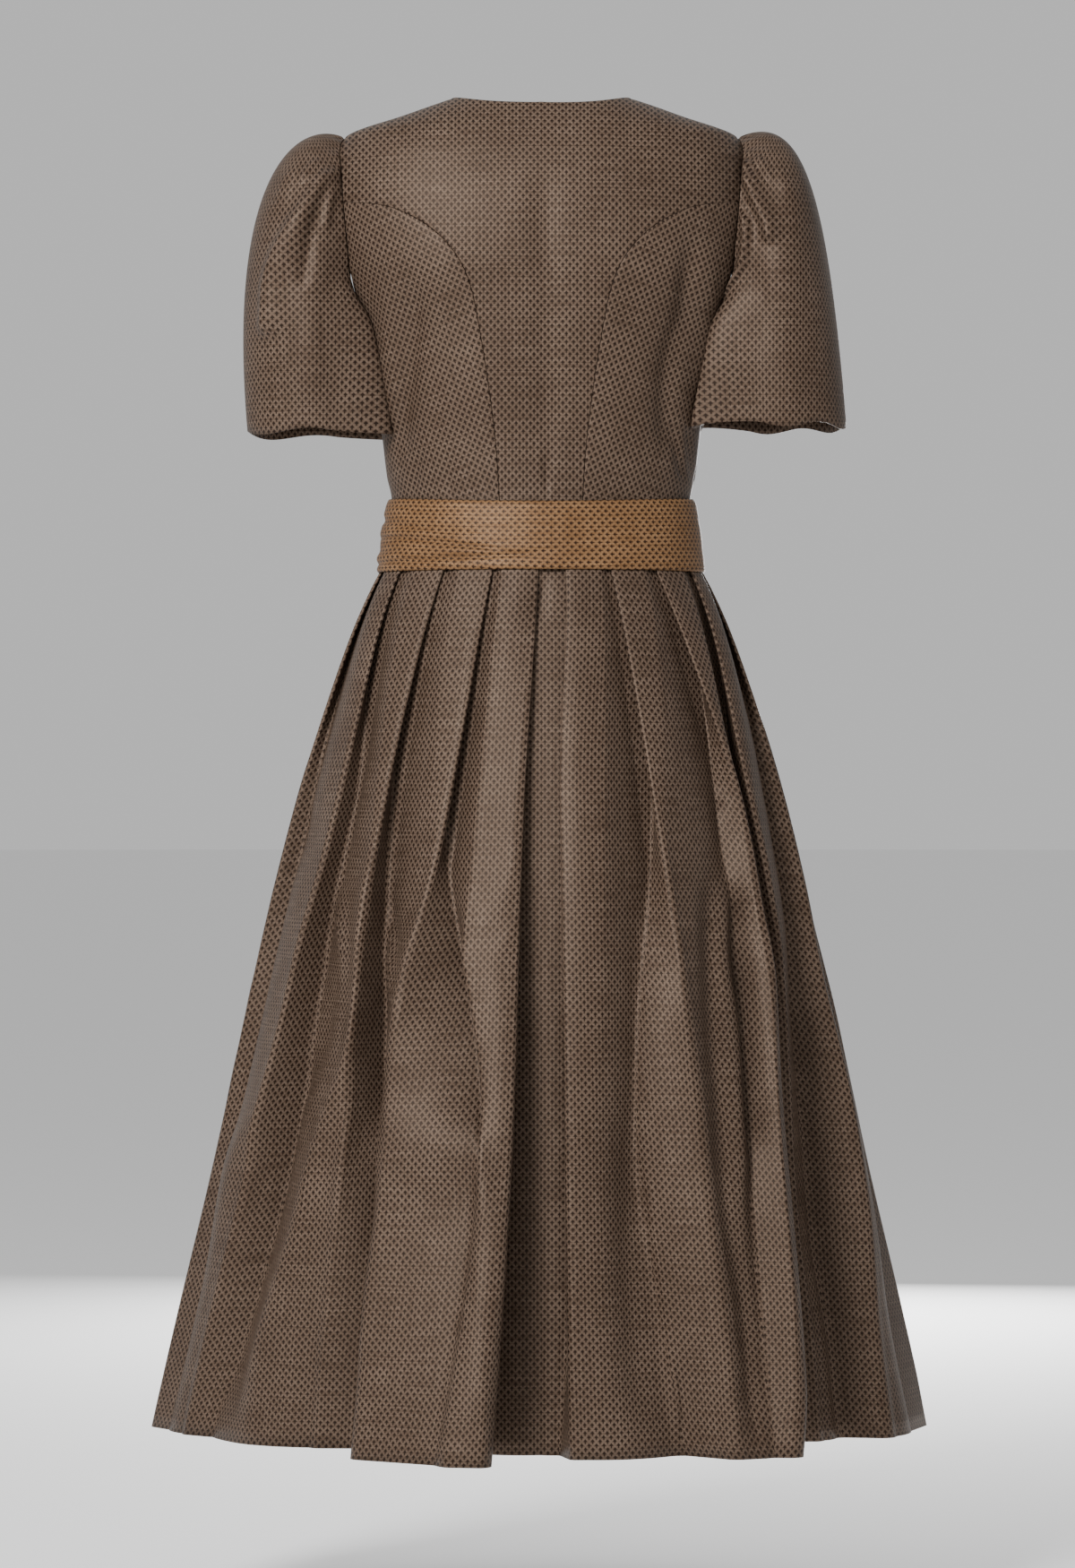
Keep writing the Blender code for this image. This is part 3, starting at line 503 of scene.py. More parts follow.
@dataclass(frozen=True)
class Jacquard:
    """A woven cloth of small upright motifs in staggered rows, with crossing light threads.

    The motif is drawn in millimetres, up and down from its middle. A sharpness is how much
    a rim gains in a millimetre, and a share is how much a part of the weave counts.
    """

    name: str
    ground: tuple[float, float, float]
    light_thread: tuple[float, float, float]
    motif: tuple[float, float, float]
    turned: bool = False
    pitch_across: float = 6.45
    pitch_along: float = 7.3
    half_head: float = 1.5
    half_stem: float = 0.5
    tip: float = 2.25
    tip_slope: float = 0.8
    neck: float = -0.5
    foot: float = -2.15
    end_sharpness: float = 3.0
    rim_sharpness: float = 4.0
    crossing_sharpness: float = 7.0
    slub_scale: tuple[float, float] = (26.0, 700.0)
    warp_scale: tuple[float, float] = (700.0, 20.0)
    cloud_scale: float = 14.0
    crossing_share: float = 0.4
    slub_share: float = 1.5
    warp_share: float = 0.9
    cloud_share: float = 0.5
    thread_share: float = 0.2
    motif_depth: float = 0.94
    motif_unevenness: float = 0.4
    thread_relief: float = 0.5
    motif_relief: float = 0.6
    crossing_relief: float = 0.3
    relief_strength: float = 0.35
    relief_height: float = 0.0004
    roughness: float = 0.46
    gloss: float = 0.16
    gloss_tint: tuple[float, float, float, float] = (1.0, 0.78, 0.62, 1.0)

    def spot(self, across: Reading, along: Reading, shift: float) -> Reading:
        """One lattice of motifs: a pointed head on a short stem.

        Args:
            across: millimetres over the cloth.
            along: millimetres up the cloth.
            shift: 0 or 0.5, how far the lattice is staggered, in pitches.

        Returns:
            1 on a motif and 0 off it, soft at its rim.
        """
        out = abs((across * (1.0 / self.pitch_across) + shift).fraction() - 0.5) * self.pitch_across
        up = ((along * (1.0 / self.pitch_along) + shift).fraction() - 0.5) * self.pitch_along
        head = ((self.tip - up) * self.tip_slope).least(self.half_head) - self.half_stem
        above_neck = ((up - self.neck) * self.end_sharpness).held()
        above_foot = ((up - self.foot) * self.end_sharpness).held()
        width = head * above_neck + self.half_stem * above_foot
        return ((width - out) * self.rim_sharpness + 0.5).held()

    def crossing(self, across: Reading, along: Reading) -> Reading:
        """The light threads that cross between the motifs.

        Args:
            across: millimetres over the cloth.
            along: millimetres up the cloth.

        Returns:
            1 on a crossing thread, falling to 0 beside it.
        """
        slant, pitch = across * (1.0 / self.pitch_across), along * (1.0 / self.pitch_along)
        nearest = abs((slant + pitch).fraction() - 0.5).least(abs((slant - pitch).fraction() - 0.5))
        return (1.0 - nearest * self.crossing_sharpness).held()

    def make(self) -> bpy.types.Material:
        """Build the material.

        Returns:
            The material, which reads the sheet's own UV map in metres.
        """
        bench = NodeBench(self.name)
        place = bench.read("ShaderNodeUVMap", {"uv_map": "cloth"}, {})
        parts = bench.node("ShaderNodeSeparateXYZ", {}, {0: place})
        over, up = (Reading(bench, parts.outputs[axis]) * (1.0 / MM) for axis in (0, 1))
        across, along = (up, over) if self.turned else (over, up)
        motif = self.spot(across, along, 0.0).most(self.spot(across, along, 0.5))
        crossing = self.crossing(across, along)
        slub, warp = bench.threads(place, self.slub_scale), bench.threads(place, self.warp_scale)
        cloudy = bench.noise(place, self.cloud_scale, 2.0)
        thread = crossing * self.crossing_share + (slub - 0.5) * self.slub_share
        thread = thread + (warp - 0.5) * self.warp_share
        thread = thread + (cloudy - 0.5) * self.cloud_share + self.thread_share
        ground = bench.mix(thread.held(), (*self.ground, 1.0), (*self.light_thread, 1.0))
        depth = (motif * (self.motif_depth + (slub - 0.5) * self.motif_unevenness)).held()
        bench.feed(bench.mix(depth, ground, (*self.motif, 1.0)), "Base Color")
        height = (slub + warp) * self.thread_relief + motif * self.motif_relief
        height = height + crossing * self.crossing_relief
        relief = {"Strength": self.relief_strength, "Distance": self.relief_height, "Height": height}
        bench.feed(bench.read("ShaderNodeBump", {}, relief), "Normal")
        bench.setting("Roughness", self.roughness)
        bench.setting("Specular IOR Level", self.gloss)
        bench.setting("Specular Tint", self.gloss_tint)
        return bench.material


DRESS_CLOTH = Jacquard(
    "dress_jacquard",
    ground=(0.054, 0.0345, 0.0235),
    light_thread=(0.124, 0.087, 0.064),
    motif=(0.007, 0.0035, 0.0025),
)
BELT_CLOTH = Jacquard(
    "belt_jacquard",
    ground=(0.108, 0.054, 0.023),
    light_thread=(0.215, 0.123, 0.062),
    motif=(0.012, 0.005, 0.003),
    turned=True,
    pitch_across=7.2,
)


# ---------------------------------------------------------------- sheets
MERGE_GAP = 1e-6             # points closer than this, in metres, are one


@dataclass
class Sheet:
    """A sheet of cloth on a grid of points, finished as a thin closed shell.

    Its wall is in millimetres. An offset of -1 puts it inside the grid, and 0 across it.
    """

    name: str
    grid: np.ndarray
    uv: np.ndarray | None = None
    face_uv: tuple[np.ndarray, np.ndarray] | None = None
    flip: bool = False
    closed: bool = False
    wall: float = 1.0
    offset: float = -1.0

    def build(self) -> bpy.types.Object:
        """Make the sheet's mesh, lay its pattern and give it its wall.

        Returns:
            The finished object, at the origin.
        """
        if self.flip:
            self.grid = self.grid[:, ::-1]
            if self.uv is not None:
                self.uv = self.uv[:, ::-1]
        rows, columns = self.grid.shape[:2]
        bpy.ops.object.select_all(action="DESELECT")
        bpy.ops.mesh.primitive_grid_add(x_subdivisions=columns - 1, y_subdivisions=rows - 1, size=1.0)
        piece = bpy.context.object
        piece.name = piece.data.name = self.name
        points = (self.grid + np.array([0.0, 0.0, ORIGIN_DROP])) * MM
        piece.data.vertices.foreach_set("co", points.reshape(-1))
        piece.data.update()
        self.lay_pattern(piece, columns)
        piece.data.shade_smooth()
        if self.closed:
            bpy.ops.object.mode_set(mode="EDIT")
            bpy.ops.mesh.select_all(action="SELECT")
            bpy.ops.mesh.remove_doubles(threshold=MERGE_GAP)
            bpy.ops.object.mode_set(mode="OBJECT")
        self.thicken(piece)
        return piece

    def lay_pattern(self, piece: bpy.types.Object, columns: int) -> None:
        """Write the sheet's UV map, in metres of flat cloth.

        Args:
            piece: the sheet.
            columns: points across it.
        """
        mesh = piece.data
        layer = mesh.uv_layers[0] if mesh.uv_layers else mesh.uv_layers.new()
        layer.name = "cloth"
        corner = corners_of(mesh)
        row, column = corner // columns, corner % columns
        if self.face_uv is not None:
            faces = np.repeat(np.arange(len(mesh.polygons)), 4)
            first = column.reshape(-1, 4).min(axis=1)[faces]
            across, along = self.face_uv
            write_uv(mesh, np.stack([across[row, first, column - first], along[row, column]], axis=1))
        elif self.uv is not None:
            write_uv(mesh, self.uv[row, column])
        else:
            self.unroll(piece, columns)

    def unroll(self, piece: bpy.types.Object, columns: int) -> None:
        """Flatten the sheet and turn it so that its grain runs up the cloth.

        Args:
            piece: the sheet.
            columns: points across it.
        """
        bpy.ops.object.mode_set(mode="EDIT")
        bpy.ops.mesh.select_all(action="SELECT")
        bpy.ops.uv.unwrap(method="CONFORMAL", margin=0.0)
        bpy.ops.object.mode_set(mode="OBJECT")
        mesh = piece.data
        flat = np.zeros(len(mesh.loops) * 2, dtype=np.float32)
        mesh.uv_layers[0].data.foreach_get("uv", flat)
        flat = flat.reshape(-1, 2).astype(float)
        table = np.zeros((len(mesh.vertices), 2))
        table[corners_of(mesh)] = flat
        table = table.reshape(-1, columns, 2)
        middle = columns // 2
        grain = table[0, middle] - table[-1, middle]
        scale = lengths_along(self.grid[:, middle])[-1] / lengths_along(table[:, middle])[-1]
        turn = math.pi / 2.0 - math.atan2(grain[1], grain[0])
        spin = np.array([[math.cos(turn), math.sin(turn)], [-math.sin(turn), math.cos(turn)]])
        write_uv(mesh, (flat - table[-1, middle]) @ spin * scale)

    def thicken(self, piece: bpy.types.Object) -> None:
        """Give the sheet its wall and apply it.

        Args:
            piece: the sheet.
        """
        wall = piece.modifiers.new("wall", "SOLIDIFY")
        wall.thickness = self.wall * MM
        wall.offset = self.offset
        wall.use_rim = True
        bpy.ops.object.modifier_apply(modifier=wall.name)


def corners_of(mesh: bpy.types.Mesh) -> np.ndarray:
    """The point at each face corner of a mesh.

    Args:
        mesh: the mesh.

    Returns:
        The points' numbers.
    """
    corner = np.zeros(len(mesh.loops), dtype=np.int32)
    mesh.loops.foreach_get("vertex_index", corner)
    return corner


def write_uv(mesh: bpy.types.Mesh, uv: np.ndarray) -> None:
    """Write a UV map that is given in millimetres for each face corner."""
    mesh.uv_layers[0].data.foreach_set("uv", (uv * MM).astype(np.float32).reshape(-1))


@dataclass
class Wardrobe:
    """Finishes the pieces: material, what each stands for, and the size of its cut.

    A cut's area is worked out as at least a share of the rectangle that it is cut from, but the cut isn't
    passed on.
    """

    dress: bpy.types.Material = field(default_factory=DRESS_CLOTH.make)
    belt: bpy.types.Material = field(default_factory=BELT_CLOTH.make)
    least_area_share: float = 0.31

    def place(self, piece: bpy.types.Object, node: str) -> None:
        """Dress a piece, place it on its node and report it.

        Args:
            piece: the finished mesh.
            node: the solid that it stands for.
        """
        is_belt = node.startswith("belt")
        piece.data.materials.clear()
        piece.data.materials.append(self.belt if is_belt else self.dress)
        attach(piece, BODY)
        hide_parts(node)
        LOG.info("%s: %d faces", piece.name, len(piece.data.polygons))

    def finish(
        self, piece: bpy.types.Object, node: str, flat: tuple[float, float], area: float, held: str,
    ) -> None:
        """Place a sheet on its node and work out its flat cut, which isn't passed on.

        Args:
            piece: the sheet.
            node: the solid that it stands for.
            flat: the cut's width and length, in millimetres.
            area: the cut's flat area, in square millimetres.
            held: how the cloth is held; not used.
        """
        self.place(piece, node)
        width, length = (round(size * MM, 4) for size in flat)
        area = min(max(area * MM * MM, self.least_area_share * width * length), width * length)


class RollStep(NamedTuple):
    """A line of points beside a seam: how far in, at most what share of a cell, and how sunk."""

    inwards: float
    most: float
    sunk: float


SEAM_EDGE_MOST = 0.2
SEAM_ROLL = (RollStep(0.9, 0.4, 0.45), RollStep(2.0, 0.7, 0.1))


def seam_rolls(grid: np.ndarray, gap: float, sink: float) -> np.ndarray:
    """Turn the four edges of a grid in towards their seams.

    Args:
        grid: rows, columns and coordinates.
        gap: how far an edge stays back from the seam.
        sink: how far it turns inwards.

    Returns:
        The grid with two more lines of points beside each edge.
    """
    steps = (RollStep(gap, SEAM_EDGE_MOST, 1.0), *SEAM_ROLL)
    normal = grid_normals(grid)
    for axis, first in ((0, True), (0, False), (1, True), (1, False)):
        work = grid if first else np.flip(grid, axis)
        lift = normal if first else np.flip(normal, axis)
        rim, way = np.take(work, 0, axis), np.take(work, 1, axis) - np.take(work, 0, axis)
        length = np.maximum(np.linalg.norm(way, axis=1, keepdims=True), 1e-6)
        side = np.take(lift, 0, axis)
        rolled = [
            rim + way / length * np.minimum(step.inwards, length * step.most) - side * sink * step.sunk
            for step in steps
        ]
        others = range(1, work.shape[axis])
        edge_lift = np.take(lift, [0] * len(steps), axis)
        grid = np.concatenate([np.stack(rolled, axis=axis), np.take(work, others, axis)], axis=axis)
        normal = np.concatenate([edge_lift, np.take(lift, others, axis)], axis=axis)
        if not first:
            grid, normal = np.flip(grid, axis), np.flip(normal, axis)
    return grid


# ---------------------------------------------------------------- bodice
def torso_depth(face: Face, height: np.ndarray) -> np.ndarray:
    """The bodice's depth at its centre line, behind or in front."""
    return read(TORSO_RINGS, "back_depth" if face is Face.BACK else "front_depth", height)


def torso_from_out(out: np.ndarray, height: np.ndarray, face: Face) -> np.ndarray:
    """The bodice surface at a distance out from the centre line.

    Args:
        out: the distances.
        height: the heights.
        face: the back or the front.

    Returns:
        The points in space.
    """
    width, power = read(TORSO_RINGS, "half_width", height), read(TORSO_RINGS, "power", height)
    share = clamped(1.0 - (np.abs(out) / width) ** power)
    return np.stack([out, face.value * torso_depth(face, height) * share ** (1.0 / power), height], axis=-1)


def torso_from_turn(turn: np.ndarray, height: np.ndarray, face: Face) -> np.ndarray:
    """The bodice surface at a turn from the centre line.

    Args:
        turn: the turns, 90 degrees at the side.
        height: the heights.
        face: the back or the front.

    Returns:
        The points in space.
    """
    width, power = read(TORSO_RINGS, "half_width", height), read(TORSO_RINGS, "power", height)
    angle = np.radians(np.clip(turn, 0.0, 90.0))
    out = width * np.sin(angle) ** (2.0 / power)
    deep = face.value * torso_depth(face, height) * np.abs(np.cos(angle)) ** (2.0 / power)
    return np.stack([out, deep, height], axis=-1)


def turn_from_out(out: np.ndarray, height: np.ndarray) -> np.ndarray:
    """The turn at which the bodice surface is a distance out from the centre line."""
    width, power = read(TORSO_RINGS, "half_width", height), read(TORSO_RINGS, "power", height)
    return np.degrees(np.arcsin(clamped((out / width) ** (power / 2.0))))


def torso_out(deep: np.ndarray, height: np.ndarray) -> np.ndarray:
    """How far out the bodice surface lies.

    Args:
        deep: the depths, plus towards the back.
        height: the heights.

    Returns:
        The distances from the middle.
    """
    limit = np.where(deep >= 0.0, torso_depth(Face.BACK, height), torso_depth(Face.FRONT, height))
    power = read(TORSO_RINGS, "power", height)
    share = clamped(1.0 - (np.abs(deep) / limit) ** power)
    return read(TORSO_RINGS, "half_width", height) * share ** (1.0 / power)


def armhole(turn: np.ndarray) -> np.ndarray:
    """The armhole seam.

    Args:
        turn: degrees round it: 0 the shoulder, 90 the back, 180 the arm pit.

    Returns:
        The points in space, on the wearer's left.
    """
    angle = np.radians(np.asarray(turn, float))
    height = (SHOULDER_DROP + UNDERARM) / 2.0 + (SHOULDER_DROP - UNDERARM) / 2.0 * np.cos(angle)
    reach = np.where(np.sin(angle) >= 0.0, ARMHOLE_DEPTHS[Face.BACK], ARMHOLE_DEPTHS[Face.FRONT])
    deep = reach * np.sin(angle)
    return np.stack([torso_out(deep, height), deep, height], axis=-1)


def coons(top: np.ndarray, bottom: np.ndarray, inner: np.ndarray, outer: np.ndarray) -> np.ndarray:
    """Fill a patch between four edge lines that share their corners.

    Args:
        top: from the inner to the outer corner.
        bottom: the same, below.
        inner: from the top to the bottom.
        outer: the same, at the far side.

    Returns:
        Rows and columns of points.
    """
    down = lengths_along(inner)[:, None, None]
    down = down / down[-1]
    top_share = lengths_along(top)[None, :, None]
    even = np.linspace(0.0, 1.0, len(top))[None, :, None]
    across = (1 - down) * top_share / top_share[:, -1:] + down * even
    ruled = (1 - down) * top[None] + down * bottom[None]
    ruled = ruled + (1 - across) * inner[:, None] + across * outer[:, None]
    corners = (1 - down) * ((1 - across) * top[0] + across * top[-1])
    return ruled - corners - down * ((1 - across) * bottom[0] + across * bottom[-1])


def relaxed(flat: np.ndarray, rounds: int = 900) -> np.ndarray:
    """Spread a patch's inner points so that its rows and columns don't cross.

    Args:
        flat: rows and columns of flat points.
        rounds: how often each point moves towards the middle of its neighbours.

    Returns:
        The patch, with its edges as they were.
    """
    for _ in range(rounds):
        over, down = (flat[1:-1, 2:] - flat[1:-1, :-2]) / 2.0, (flat[2:, 1:-1] - flat[:-2, 1:-1]) / 2.0
        tall, wide = (down ** 2).sum(-1, keepdims=True), (over ** 2).sum(-1, keepdims=True)
        skew = (over * down).sum(-1, keepdims=True)
        cross = (flat[2:, 2:] - flat[2:, :-2] - flat[:-2, 2:] + flat[:-2, :-2]) / 4.0
        beside = tall * (flat[1:-1, 2:] + flat[1:-1, :-2]) + wide * (flat[2:, 1:-1] + flat[:-2, 1:-1])
        flat[1:-1, 1:-1] = (beside - 2.0 * skew * cross) / (2.0 * (tall + wide))
    return flat


@dataclass
class Bodice:
    """The seven panels of the bodice.

    Parts count the cells of the grids. The ripple is a faint unevenness of the worn cloth,
    and the cut fields are what the flat cut has over the worn panel.
    """

    wardrobe: Wardrobe
    princess_parts: int = 72
    armhole_top_parts: int = 40
    armhole_low_parts: int = 26
    armhole_crowding: float = 1.4
    neck_parts: int = 24
    neck_points: int = 160
    shoulder_parts: int = 24
    profile_points: int = 201
    seam_gap: float = 0.14
    seam_sink: float = 0.6
    ripple_rise: float = 0.5
    ripple_slant: tuple[float, float] = (0.041, 0.017)
    ripple_down: Wave = Wave(0.033, 1.0, 1.0)
    cut_length_over: float = 20.0
    cut_width_times: float = 1.25
    cut_width_least: float = 60.0

    def princess_line(self, face: Face) -> np.ndarray:
        """Points of a princess seam, from the armhole to the waist.

        Args:
            face: the back or the front.

        Returns:
            How far out and how high each point lies.
        """
        out, _, height = armhole(face.value * SEAM_TURNS[face])
        points = np.array([(out, height)] + [(point.out, point.height) for point in PRINCESS_SEAMS[face]])
        return spread(points, self.princess_parts)

    def neckline(self, face: Face) -> np.ndarray:
        """The neck edge from the centre to the high shoulder point.

        Args:
            face: the back or the front.

        Returns:
            How far out and how high each point lies.
        """
        share = 1.0 - np.linspace(1.0, 0.0, self.neck_points) ** 2
        drop = NECK_DROPS[face] * (1.0 - share ** NECK_ROUNDNESS[face])
        out = NECK_HALF_WIDTH * share
        return spread(np.stack([out, drop], axis=1), self.neck_parts, torso_from_out(out, drop, face))

    def shoulder_line(self) -> np.ndarray:
        """The shoulder seam from the neck to the sleeve, out and height."""
        heights = np.linspace(0.0, SHOULDER_DROP, self.shoulder_parts + 1)
        return np.stack([read(TORSO_RINGS, "half_width", heights), heights], axis=1)

    def centre_panel(self, face: Face) -> np.ndarray:
        """Half of the centre back, or one centre front.

        Args:
            face: the back or the front.

        Returns:
            Its grid, from the centre line outwards.
        """
        arm_share = np.linspace(0.0, 1.0, self.armhole_top_parts + 1) ** self.armhole_crowding
        arm = armhole(face.value * SEAM_TURNS[face] * arm_share)[:, [0, 2]]
        princess = self.princess_line(face)
        outer = np.concatenate([arm, princess[1:]])
        top = np.concatenate([self.neckline(face), self.shoulder_line()[1:]])
        lengths = lengths_along(torso_from_out(outer[:, 0], outer[:, 1], face))
        inner_height = top[0, 1] + (WAIST - top[0, 1]) * lengths / lengths[-1]
        inner = np.stack([np.zeros_like(inner_height), inner_height], axis=1)
        bottom = np.stack([np.linspace(0.0, princess[-1, 0], len(top)), np.full(len(top), WAIST)], axis=1)
        flat = relaxed(coons(top, bottom, inner, outer))
        return torso_from_out(flat[..., 0], flat[..., 1], face)

    def side_panel(self, face: Face) -> np.ndarray:
        """The panel between a princess seam and the side seam.

        Args:
            face: the back or the front.

        Returns:
            Its grid, from the princess seam outwards.
        """
        arm = armhole(face.value * np.linspace(SEAM_TURNS[face], 180.0, self.armhole_low_parts + 1))
        princess = self.princess_line(face)
        top = np.stack([turn_from_out(arm[:, 0], arm[:, 2]), arm[:, 2]], axis=1)
        inner = np.stack([turn_from_out(princess[:, 0], princess[:, 1]), princess[:, 1]], axis=1)
        side = np.stack([np.full(len(inner), 90.0), np.linspace(UNDERARM, WAIST, len(inner))], axis=1)
        bottom = np.stack([np.linspace(inner[-1, 0], 90.0, len(top)), np.full(len(top), WAIST)], axis=1)
        flat = coons(top, bottom, inner, side)
        return torso_from_turn(flat[..., 0], flat[..., 1], face)

    def worn(self, grid: np.ndarray, face: Face, mirrored: float) -> np.ndarray:
        """Press the worn folds into a panel and turn its edges in towards the seams.

        Args:
            grid: the panel.
            face: the back or the front.
            mirrored: the sign of the side, because the folds differ left and right.

        Returns:
            The folded panel, with its edges on the seams.
        """
        out, height = grid[..., 0], grid[..., 2]
        lift = fold_offset(BODICE_FOLDS[face], out * mirrored, height)
        slant_out, slant_up = self.ripple_slant
        ripple = np.sin(out * slant_out + height * slant_up) * self.ripple_down.at(height)
        folded = grid + grid_normals(grid) * face.value * (lift + self.ripple_rise * ripple)[..., None]
        return seam_rolls(folded, self.seam_gap, self.seam_sink * face.value)

    def build(self) -> None:
        """Make and finish the seven panels."""
        half = self.centre_panel(Face.BACK)
        whole = self.worn(np.concatenate([half[:, :0:-1] * (-1.0, 1.0, 1.0), half], axis=1), Face.BACK, 1.0)
        self.add("bodice_back", whole, False, self.centre_cloth(whole, Face.BACK))
        for side in Side:
            for face, place in ((Face.BACK, "side_back"), (Face.FRONT, "side_front"), (Face.FRONT, "front")):
                is_centre = place == "front"
                half = self.centre_panel(face) if is_centre else self.side_panel(face)
                panel = self.worn(half, face, side.value)
                cloth = self.centre_cloth(panel, face) if is_centre else None
                flip = side.value * face.value < 0
                self.add(f"bodice_{place}_{side.label}", panel * (side.value, 1.0, 1.0), flip, cloth)

    def centre_cloth(self, grid: np.ndarray, face: Face) -> np.ndarray:
        """The lay of a centre panel's cloth: out from the middle and up over the shoulder.

        Args:
            grid: the panel.
            face: the back or the front.

        Returns:
            The cloth's two lengths at each point.
        """
        heights = np.linspace(WAIST, 0.0, self.profile_points)
        over = lengths_along(np.stack([torso_depth(face, heights), heights], axis=1))
        return np.stack([grid[..., 0], np.interp(grid[..., 2], heights, over)], axis=-1)

    def add(self, node: str, grid: np.ndarray, flip: bool, cloth: np.ndarray | None) -> None:
        """Build one panel and finish it.

        Args:
            node: the solid that it stands for.
            grid: its points.
            flip: whether its columns run the other way, so that it faces outwards.
            cloth: the lay of its cloth, where it isn't unrolled.
        """
        piece = Sheet(f"{node}_cloth", grid, uv=cloth, flip=flip).build()
        area = grid_area(grid)
        length = float(np.ptp(grid[..., 2])) + self.cut_length_over
        width = max(area / length * self.cut_width_times, self.cut_width_least)
        self.wardrobe.finish(piece, node, (width, length), area, "stretched")


# Each fold: its line of (out, height), its rise, its width on the left and the right, its fade.
BODICE_FOLDS: dict[Face, tuple[Fold, ...]] = {
    Face.BACK: (
        Fold(
            ((120.4, -153.2), (115.6, -196.1), (118.8, -239.7), (126.1, -297.9), (127.7, -347.2)),
            -5.7, 9.0, 9.0, 40.0,
        ),
        Fold(((139.0, -161.3), (140.6, -209.8), (137.4, -266.4), (134.2, -322.9)), 3.0, 9.0, 9.0, 40.0),
        Fold(((-1.6, -56.2), (-4.0, -161.3), (-5.7, -258.3), (-5.7, -355.3)), -2.4, 13.0, 13.0, 60.0),
        Fold(((-4.8, -322.9), (-5.7, -368.2)), -3.0, 4.0, 4.0, 16.0),
        Fold(((84.0, -322.9), (84.0, -368.2)), -2.4, 5.0, 5.0, 16.0),
        Fold(
            ((-141.4, -120.9), (-132.5, -167.0), (-130.1, -196.1), (-116.4, -239.7), (-112.3, -283.3),
             (-114.8, -339.1)),
            -5.7, 9.0, 9.0, 40.0,
        ),
        Fold(((-156.0, -149.2), (-153.6, -193.6), (-147.1, -234.0), (-143.0, -274.4)), 3.2, 8.0, 8.0, 40.0),
        Fold(((-121.2, -294.6), (-124.5, -322.9), (-131.7, -355.3)), -3.5, 4.0, 4.0, 14.0),
        Fold(((-132.5, -298.7), (-135.8, -327.0), (-139.0, -355.3)), -2.4, 4.0, 4.0, 14.0),
        Fold(((108.3, -318.9), (114.8, -347.2), (118.0, -367.4)), -2.2, 5.0, 5.0, 14.0),
    ),
    Face.FRONT: (
        Fold(((134.0, -150.0), (128.0, -210.0), (124.0, -262.0)), -4.3, 8.0, 8.0, 30.0),
        Fold(((-133.0, -150.0), (-129.0, -215.0), (-122.0, -268.0)), -4.3, 8.0, 8.0, 30.0),
        Fold(((96.0, -292.0), (90.0, -366.0)), -2.7, 6.0, 6.0, 22.0),
        Fold(((-98.0, -296.0), (-90.0, -366.0)), -2.7, 6.0, 6.0, 22.0),
        Fold(((42.0, -300.0), (38.0, -368.0)), -2.4, 6.0, 6.0, 22.0),
        Fold(((-44.0, -306.0), (-40.0, -368.0)), -2.4, 6.0, 6.0, 22.0),
    ),
}


# ---------------------------------------------------------------- sleeves
def round_arm(top: float, side: float, pit: float, cosine: np.ndarray) -> np.ndarray:
    """A measure round the arm, from its values at the top, the sides and the arm pit."""
    return side + (top - pit) / 2 * cosine + (top + pit - 2 * side) / 2 * cosine ** 2


